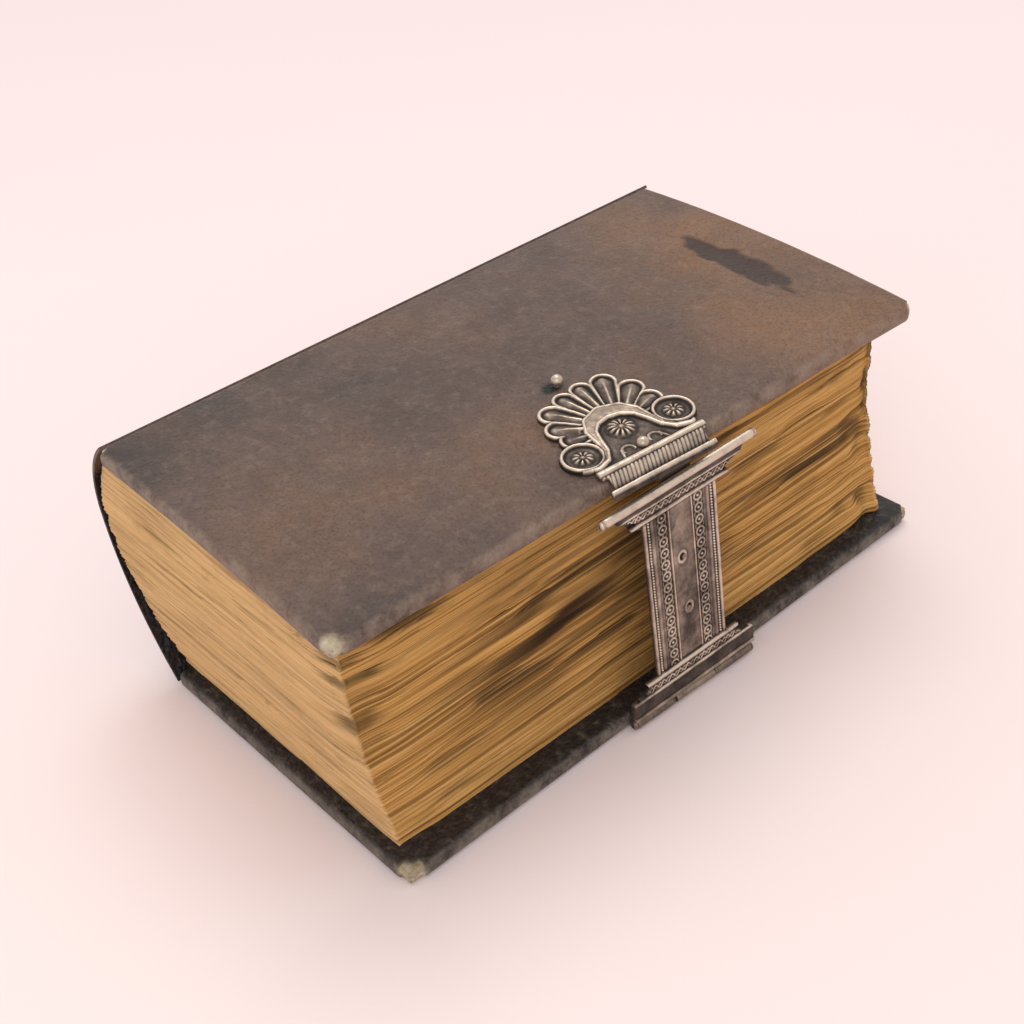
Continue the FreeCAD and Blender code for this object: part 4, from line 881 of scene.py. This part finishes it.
def lobe_shapes(x, y):
    """For each lobe: its distance, and places along and across its middle line."""
    for angle, tip in LOBES:
        bearing = math.radians(angle)
        way = np.array([-math.cos(bearing), math.sin(bearing)])
        along = -x * math.cos(bearing) + y * math.sin(bearing)
        across = x * math.sin(bearing) + y * math.cos(bearing)
        half = LOBE_HALF * (1.12 if abs(angle) > 20 else 1.0)
        bar = capsule(x, y, way * (LOBE_NECK - 1.5), way * (tip - LOBE_HALF), half * 0.7, half)
        yield bar, along, across, tip


def plate_outline(x, y):
    """Signed distance to the edge of the plate with its lip."""
    away = np.hypot(x, y) - (ARCH_OUTER + 0.7)
    away = np.maximum(away, x - FAN_INSET)
    for distance, _, _, _ in lobe_shapes(x, y):
        away = np.minimum(away, distance)
    for disc_x, disc_y in DISCS:
        away = np.minimum(away, np.hypot(x - disc_x, y - disc_y) - DISC_RADIUS)
    skirt = box(x, y, 2.0, FAN_INSET, FILLET_HALF - 0.9 + 0.5 * np.cos((x - 6.5) * 0.7))
    away = np.minimum(away, skirt)
    fillet = box(x, y, FAN_INSET - 1.9, FAN_INSET + 0.4, FILLET_HALF)
    band = box(x, y, FAN_INSET - 0.5, FAN_INSET + LIP_REACH - 0.8, FILLET_HALF - 1.5)
    lower = box(x, y, FAN_INSET + LIP_REACH - 1.3, FAN_INSET + LIP_REACH, FILLET_HALF - 0.2)
    return np.minimum(np.minimum(away, fillet), np.minimum(band, lower))


def lip_slope(x):
    """Middle height of the band that slopes down in front of the cover."""
    return 0.65 - (LIP_FALL - 0.1) * smooth(FAN_INSET, FAN_INSET + LIP_REACH, x)


def plate_floor(x, y):
    """The plate's underside: just in the leather, then under the lip."""
    return np.where(x < FAN_INSET, -0.15, lip_slope(x) - 0.85)


OMEGA = (
    (-6.7, 0.0, 2.3), (-5.5, 3.8, 2.0), (-2.7, 6.1, 1.45), (0.9, 6.9, 0.95),
    (4.4, 7.6, 0.7), (7.2, 9.4, 0.6), (8.4, 12.6, 0.5), (7.4, 16.0, 0.4),
)


def omega_band(x, y):
    """Signed distance to the horseshoe whose ends run out round the discs."""
    side = np.abs(y)
    away = np.full_like(x, 99.0)
    for start, stop in zip(OMEGA, OMEGA[1:]):
        away = np.minimum(away, capsule(x, side, start[:2], stop[:2], start[2], stop[2]))
    return away


def lobe_relief(x, y, height):
    """Lobes with a raised rim round a bowl, and a crease along the middle."""
    nearest = np.full_like(x, 99.0)
    for distance, along, across, tip in lobe_shapes(x, y):
        rim = 0.62 * ridge(distance + 0.5, 0.55)
        bowl = 0.5 * smooth(-0.7, -2.4, distance) * (0.7 + 0.3 * np.cos(across * 1.9))
        crease = 0.16 * ridge(across, 0.35) * smooth(tip - 2.0, tip - 5.0, along)
        lobe = 0.42 + np.maximum(rim, bowl) + crease
        height = np.where((distance < 0) & (distance < nearest), lobe, height)
        nearest = np.minimum(nearest, distance)
    return height


def field_relief(x, y, omega, height):
    """The low field inside the horseshoe, with its rosette, scrolls and stalks."""
    away = np.hypot(x, y)
    side = np.abs(y)
    within = (x > -4.6) & (omega > 0) & (side < 7.5) & (away < 9.5) | (x > 4.0) & (omega > 0)
    height = np.where(within, 0.4 + 0.04 * cloudy(x * 1.4, y * 1.4, 8), height)
    height = np.where(away < 3.5, 0.5 + rosette(x, y, 3.4, 12, 0.75), height)
    leaf = 0.25 * ridge(np.hypot(x - 7.0, side - 3.6) - 1.5, 0.42) * (x < 7.6)
    stalk = 0.3 * ridge(side - 5.4 - 0.35 * (x - 7.0), 0.4) * (x > 6.0)
    return np.where(within & (x > 3.4) & (away > 3.6), height + np.maximum(leaf, stalk), height)


def disc_relief(x, y, height):
    """The two ringed discs, each with its own rosette."""
    for disc_x, disc_y in DISCS:
        out = np.hypot(x - disc_x, y - disc_y)
        disc = 0.5 + 0.12 * smooth(2.4, 4.2, out) + rosette(x - disc_x, y - disc_y, 2.6, 9, 0.62)
        disc = np.maximum(disc, 0.45 + 0.85 * ridge(out - 4.45, 0.5))
        height = np.where(out < DISC_RADIUS, disc, height)
    return height


def lip_relief(x, y, height):
    """The fillet at the cover's edge and the reeded band that slopes down from it."""
    upper = 0.55 + 0.8 * ridge(x - FAN_INSET + 0.85, 0.95)
    height = np.where((x > FAN_INSET - 1.75) & (x < FAN_INSET + 0.2), upper, height)
    slant = y + 0.35 * (x - FAN_INSET)
    reeds = lip_slope(x) + 0.24 * np.abs(np.cos(math.pi * slant / REED_PITCH)) ** 0.7 - 0.1
    lower = lip_slope(x) - 0.1 + 0.75 * ridge(x - FAN_INSET - LIP_REACH + 0.62, 0.66)
    return np.where(x >= FAN_INSET + 0.2, np.where(lower > reeds, lower, reeds), height)


def plate_height(x, y):
    """Height of the plate's face over the leather."""
    height = lobe_relief(x, y, 0.36 + 0.05 * cloudy(x * 1.4, y * 1.4, 7))
    omega = omega_band(x, y)
    height = field_relief(x, y, omega, height)
    height = disc_relief(x, y, height)
    band = 1.0 + 0.22 * smooth(0.0, -1.2, omega) + 0.16 * ridge(omega + 0.3, 0.32)
    height = np.where((omega < 0) & (x < FAN_INSET - 1.8), band, height)
    return lip_relief(x, y, height) + 0.06 * cloudy(x * 0.5, y * 0.5, 17)


def plate_stain(x, y):
    """How tarnished each place is, apart from its hollows."""
    discs = [np.hypot(x - disc_x, y - disc_y) < 4.2 for disc_x, disc_y in DISCS]
    lobes = np.hypot(x, y) > ARCH_OUTER
    field = (omega_band(x, y) > 0.1) & (x > -4.0) & (x < FAN_INSET - 1.8)
    stain = np.where(discs[0] | discs[1] | field, 0.45, np.where(lobes & (x < 8.0), 0.3, -0.05))
    return stain + 0.2 * cloudy(x * 0.4, y * 0.4, 27)


def catch_plate():
    """The palmette plate with its lip."""
    obj = relief(
        "palmette_plate", PALMETTE.out, (-21.5, -19.5), (15.6, 19.0), 0.125,
        plate_outline, plate_height, plate_floor, plate_stain,
    )
    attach(obj, "front_cover")
    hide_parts("catch_plate")


# The strap: sheet coordinates are across (to the head) and up from the hinge

COLUMN_HALF = 10.9
COLUMN_HEAD = 53.6
SHEET_TOP = 59.4
ROD_RISE = 60.0
BASE_TOP = 10.4
BASE_FOOT = 2.0
CORNICE_HALVES = (
    (COLUMN_HEAD - 0.5, 14.4), (54.4, 14.6), (55.0, 12.4), (56.4, 15.2), (57.4, 18.0), (59.2, 18.4),
)
BASE_HALVES = (
    (BASE_FOOT, 19.2), (6.6, 19.2), (7.2, 18.8), (7.8, 14.6), (9.0, 12.8), (9.6, 14.4), (BASE_TOP, 14.6),
)
BEAD_ROW = 9.4
BEAD_PITCH = 0.77
ROSETTE_ROW = 5.45
ROSETTE_PITCH = 3.19
ROSETTE_FIRST = 13.8
DIMPLES = ((-0.52, 38.77), (0.34, 24.06))
SCROLL_PITCH = 2.6


def column_half(z):
    """Half the strap's width at each height: base, column and cornice."""
    cornice = np.interp(z, *zip(*CORNICE_HALVES))
    half = np.where(z > COLUMN_HEAD - 0.5, cornice, COLUMN_HALF)
    return np.where(z < BASE_TOP, np.interp(z, *zip(*BASE_HALVES)), half)


def strap_outline(x, z):
    """About the signed distance to the strap's edge."""
    sides = (np.abs(x) - column_half(z)) * 0.8
    return np.maximum(sides, np.maximum(z - SHEET_TOP, BASE_FOOT - z))


def waves(x, z, middle, half):
    """A running scroll: curls that follow each other along a band."""
    turn = 2 * math.pi * x / SCROLL_PITCH
    rising = ridge(z - middle - half * 0.62 * np.sin(turn), 0.3)
    falling = 0.75 * ridge(z - middle - half * 0.5 * np.sin(turn + 2.4), 0.24)
    cell = x / SCROLL_PITCH - np.floor(x / SCROLL_PITCH) - 0.5
    dot = ridge(np.hypot(cell * SCROLL_PITCH, z - middle), 0.36)
    return np.maximum(np.maximum(rising, falling), dot) * smooth(half * 1.3, half * 0.95, np.abs(z - middle))


def rosette_row(side, z):
    """Small ringed flowers up each side of the column, with arcs between them."""
    place_z = (z - ROSETTE_FIRST + ROSETTE_PITCH / 2) / ROSETTE_PITCH
    from_z = (place_z - np.floor(place_z) - 0.5) * ROSETTE_PITCH
    from_x = side - ROSETTE_ROW
    away = np.hypot(from_x, from_z)
    from_gap = np.hypot(from_x, np.abs(from_z) - ROSETTE_PITCH / 2)
    flower = 0.46 + np.maximum(0.3 * ridge(away - 1.08, 0.3), 0.36 * ridge(away, 0.42))
    between = 0.46 + 0.26 * ridge(from_gap, 0.34) + 0.2 * ridge(from_gap - 1.2, 0.2)
    return np.where(away < 1.42, flower, between)


def panel_relief(x, z):
    """The plain middle of the column, with two dimples and a crack at its foot."""
    panel = 0.66 + 0.07 * cloudy(x * 0.35, z * 0.35, 23)
    for dimple_x, dimple_z in DIMPLES:
        out = np.hypot((x - dimple_x) / 0.95, (z - dimple_z) / 1.25)
        panel = panel + 0.16 * ridge(out - 1.15, 0.4) - 0.4 * smooth(1.0, 0.4, out)
    crack = smooth(0.28, 0.08, np.abs(x + 3.3 + 0.25 * np.sin(z * 2.2))) * smooth(13.6, 12.9, z)
    return panel - 0.3 * crack


def column_relief(x, z):
    """From the edge in: folded rim, beads, mouldings, flowers, line and panel."""
    side = np.abs(x)
    folded = 0.62 + 0.3 * ridge(side - 10.5, 0.5)
    from_bead = (z / BEAD_PITCH - np.floor(z / BEAD_PITCH) - 0.5) * BEAD_PITCH
    beads = 0.3 + 0.62 * ridge(np.hypot(side - BEAD_ROW, from_bead), 0.37)
    moulding = 0.6 + 0.16 * ridge(side - 8.3, 0.5)
    line = 0.56 + 0.24 * ridge(side - 3.45, 0.3)
    return np.select(
        [side > 10.05, side > 8.9, side > 7.75, side > 6.95, side > 3.85, side > 3.1],
        [folded, beads, moulding, 0.62 + 0 * x, rosette_row(side, z), line],
        panel_relief(x, z),
    )


def cornice_relief(x, z):
    """From below: fillet, band of scrolls, ridge and the plain slope to the rod."""
    fillet = 0.85 + 0.45 * ridge(z - 54.1, 0.6)
    band = 1.0 + 0.09 * (z - 55.0) + 0.3 * waves(x, z, 56.1, 1.1)
    top_ridge = 1.3 + 0.45 * ridge(z - 57.6, 0.4)
    plain = 1.55 + 0.25 * (z - 57.4)
    return np.select([z < 54.75, z < 57.2, z < 58.0], [fillet, band, top_ridge], plain)


def base_relief(x, z):
    """From above: fillet, band of scrolls, step, broad moulding and foot."""
    fillet = 0.9 + 0.45 * ridge(z - 9.8, 0.62)
    scrolls = 1.0 + 0.3 * waves(x, z, 8.15, 1.0)
    step = 1.4 + 0.15 * ridge(z - 6.9, 0.42)
    broad = 1.45 + 0.12 * ridge(z - 4.9, 1.6)
    foot = 1.45 + 0.2 * ridge(z - 2.5, 0.5)
    return np.select([z > 9.2, z > 7.25, z > 6.5, z > 3.4], [fillet, scrolls, step, broad], foot)


def strap_height(x, z):
    """Height of the strap's face over its back."""
    height = np.where(z >= COLUMN_HEAD - 0.1, cornice_relief(x, z), column_relief(x, z))
    height = np.where(z <= BASE_TOP, base_relief(x, z), height)
    return height + (0.05 * cloudy(x * 0.3, z * 0.3, 29) + 0.02 * cloudy(x * 1.6, z * 1.6, 33))


def strap_stain(x, z):
    """How tarnished each place is, apart from its hollows."""
    stain = 0.12 + 0.5 * cloudy(x * 0.22, z * 0.16, 45)
    stain = np.where((z > 57.9) | ((z < 6.4) & (z > 3.2)), 0.6, stain)
    return np.where((np.abs(x) < 7.5) & (np.abs(x) > 3.6), stain + 0.12, stain)


def strap_place(points):
    """Points of the strap's sheet (across, up, out) in the book's frame."""
    across, up, out = points.T
    return STRAP.out(np.stack([out, across, up], axis=1))


def clasp_strap():
    """The strap with its back, its two knuckles and the rod at its head."""
    obj = relief(
        "strap_sheet", strap_place, (-19.8, 1.6), (19.8, 59.9), 0.15,
        strap_outline, strap_height, lambda x, z: np.zeros_like(x), strap_stain,
    )
    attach(obj, "clasp")
    knuckles = [
        turned_bar("knuckle_tail", KNUCKLES, KNUCKLE_RADIUS, -KNUCKLE_ENDS[1], -KNUCKLE_ENDS[0]),
        turned_bar("knuckle_head", KNUCKLES, KNUCKLE_RADIUS, *KNUCKLE_ENDS),
    ]
    back_sheet()
    for knuckle in knuckles:
        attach(knuckle, "clasp")
    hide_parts("clasp_strap")
    rod = turned_bar("grip_rod", nested(STRAP, (1.3, 0, ROD_RISE)), ROD_RADIUS, -ROD_HALF, ROD_HALF)
    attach(rod, "clasp")
    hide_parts("clasp_grip")


def back_sheet():
    """The plain back of the strap, down to the knuckles."""
    heights = np.concatenate([np.linspace(0.4, BASE_TOP, 12), np.linspace(BASE_TOP + 0.2, SHEET_TOP, 20)])
    halves = column_half(heights) - 0.05
    right = [(0.02, half, z) for half, z in zip(halves, heights)]
    outline = np.array(right + [(out, -half, z) for out, half, z in right[::-1]])
    obj = add_mesh("strap_back", STRAP.out(outline), [list(range(len(outline)))], SILVER, False)
    paint(obj, "hollow", np.full(len(outline), 0.3))
    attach(obj, "clasp")


KNUCKLE_RADIUS = 1.3
KNUCKLE_ENDS = (6.45, 19.5)
ROD_RADIUS = 1.05
ROD_HALF = 22.9
BAR_RINGS = 40
BAR_SIDES = 32


def turned_bar(name, place, radius, low, high):
    """A round bar along y with softly rounded ends."""
    bend = radius * 0.6
    steps = np.linspace(0, math.pi / 2, 6)
    inset = radius - bend * (1 - np.cos(steps))
    ends = bend * (1 - np.sin(steps))
    runs = np.linspace(low + bend, high - bend, BAR_RINGS)
    along = np.concatenate([low + ends[::-1], runs, high - ends])
    rings = np.concatenate([inset[::-1], np.full(BAR_RINGS, radius), inset])
    order = np.argsort(along, kind="stable")
    along, rings = along[order], rings[order]
    rings = rings * (1 + 0.02 * cloudy(along * 0.4, along * 0 + radius, 37))
    angles = np.linspace(0, 2 * math.pi, BAR_SIDES + 1)[:-1]
    points = [(r * math.cos(a), y, r * math.sin(a)) for y, r in zip(along, rings) for a in angles]
    last = len(points) - BAR_SIDES
    faces = grid_faces(len(along), BAR_SIDES, wrap=True)
    faces.append(list(range(BAR_SIDES)))
    faces.append([last + i for i in range(BAR_SIDES)][::-1])
    obj = add_mesh(name, place.out(points), faces, SILVER)
    paint(obj, "hollow", np.full(len(points), -0.6 if radius == ROD_RADIUS else 0.2))
    return obj


# The pieces; a worn corner is (u, v, reach), the peeled place its middle and half sizes

FRONT_CORNERS = ((BOARD_WIDTH, -HALF_HEIGHT, 3.8), (BOARD_WIDTH, HALF_HEIGHT, 2.4), (0.0, -HALF_HEIGHT, 2.2))
BACK_CORNERS = ((BOARD_WIDTH, HALF_HEIGHT, 4.6), (BOARD_WIDTH, -HALF_HEIGHT, 2.4))
FRONT_PEELED = (50.0, 68.5, 18.0, 4.6)
FRONT_DROOP = 1.72

cover_skin(
    "front_skin", ("front_leather", "front_board"), "front_cover", COVER, FRONT_LEATHER, CROWN, FRONT_DROOP,
    FRONT_CORNERS, 1.7, peel_at=FRONT_PEELED,
)
cover_skin(
    "back_skin", ("back_leather",), "back_cover", BACK, BACK_LEATHER, 0.0, 0.0,
    BACK_CORNERS, 0.9, seed=4,
)
text_block()
catch_plate()
clasp_strap()


# Camera, lights and floor

def camera_place(target, azimuth, elevation, distance, roll):
    """Where the camera stands: azimuth is measured from -Y towards +X."""
    az, el, ro = (math.radians(v) for v in (azimuth, elevation, roll))
    back = Vector((math.sin(az) * math.cos(el), -math.cos(az) * math.cos(el), math.sin(el)))
    side = Vector((0, 0, 1)).cross(back).normalized()
    up = back.cross(side)
    right = side * math.cos(ro) + up * math.sin(ro)
    top = up * math.cos(ro) - side * math.sin(ro)
    spin = Matrix((right, top, back)).transposed().to_4x4()
    return Matrix.Translation((Vector(target) + back * distance) * MM) @ spin


CAMERA_TARGET = (-4.7, -7.33, 30.0)
FOCAL_PIXELS = 1498.23
FRAME_PIXELS = 1024
SENSOR_MM = 36.0
CAMERA_STAND = {"azimuth": 52.21, "elevation": 36.34, "distance": 365.89, "roll": -6.78}
WORLD_COLOUR = (1.0, 0.97, 0.96, 1.0)
WORLD_STRENGTH = 0.9
FLOOR_REACH = 3000.0
FLOOR_COUNT = 81
FLOOR_LEVEL = -0.05


def add_camera():
    lens = bpy.data.cameras.new("camera")
    lens.sensor_width = SENSOR_MM
    lens.lens = FOCAL_PIXELS * SENSOR_MM / FRAME_PIXELS
    lens.clip_start = 0.01
    lens.clip_end = 20.0
    camera = bpy.data.objects.new("camera", lens)
    camera.matrix_world = camera_place(CAMERA_TARGET, **CAMERA_STAND)
    bpy.context.scene.collection.objects.link(camera)
    bpy.context.scene.camera = camera


def add_lamp(name, place, size, power, colour):
    """A round lamp that faces the book; place and size in metres."""
    lamp = bpy.data.lights.new(name, "AREA")
    lamp.shape = "DISK"
    lamp.size = size
    lamp.energy = power
    lamp.color = colour
    obj = bpy.data.objects.new(name, lamp)
    obj.location = place
    obj.rotation_euler = (Vector((0, 0, 0.03)) - Vector(place)).to_track_quat("-Z", "Y").to_euler()
    bpy.context.scene.collection.objects.link(obj)


def add_world():
    """Even pale light from all sides."""
    world = bpy.data.worlds.new("studio")
    world.use_nodes = True
    sky = world.node_tree.nodes["Background"].inputs
    sky["Color"].default_value = WORLD_COLOUR
    sky["Strength"].default_value = WORLD_STRENGTH
    bpy.context.scene.world = world


def add_floor():
    """The cloth: a wide flat grid, finer near the book."""
    side = np.linspace(-1, 1, FLOOR_COUNT)
    side = np.sign(side) * np.abs(side) ** 2.2 * FLOOR_REACH
    x, y = np.meshgrid(side, side)
    points = np.stack([x.ravel(), y.ravel(), np.full(x.size, FLOOR_LEVEL)], axis=1)
    floor = add_mesh("floor", points, grid_faces(FLOOR_COUNT, FLOOR_COUNT), CLOTH)


dress_nodes()
add_camera()
add_world()
add_floor()
add_lamp("key", (-1.6, 1.4, 4.5), 3.0, 72.0, (1.0, 0.98, 0.95))
add_lamp("fill", (2.6, -2.6, 2.8), 3.0, 36.0, (1.0, 0.98, 0.97))

bpy.context.scene.view_settings.view_transform = "Standard"
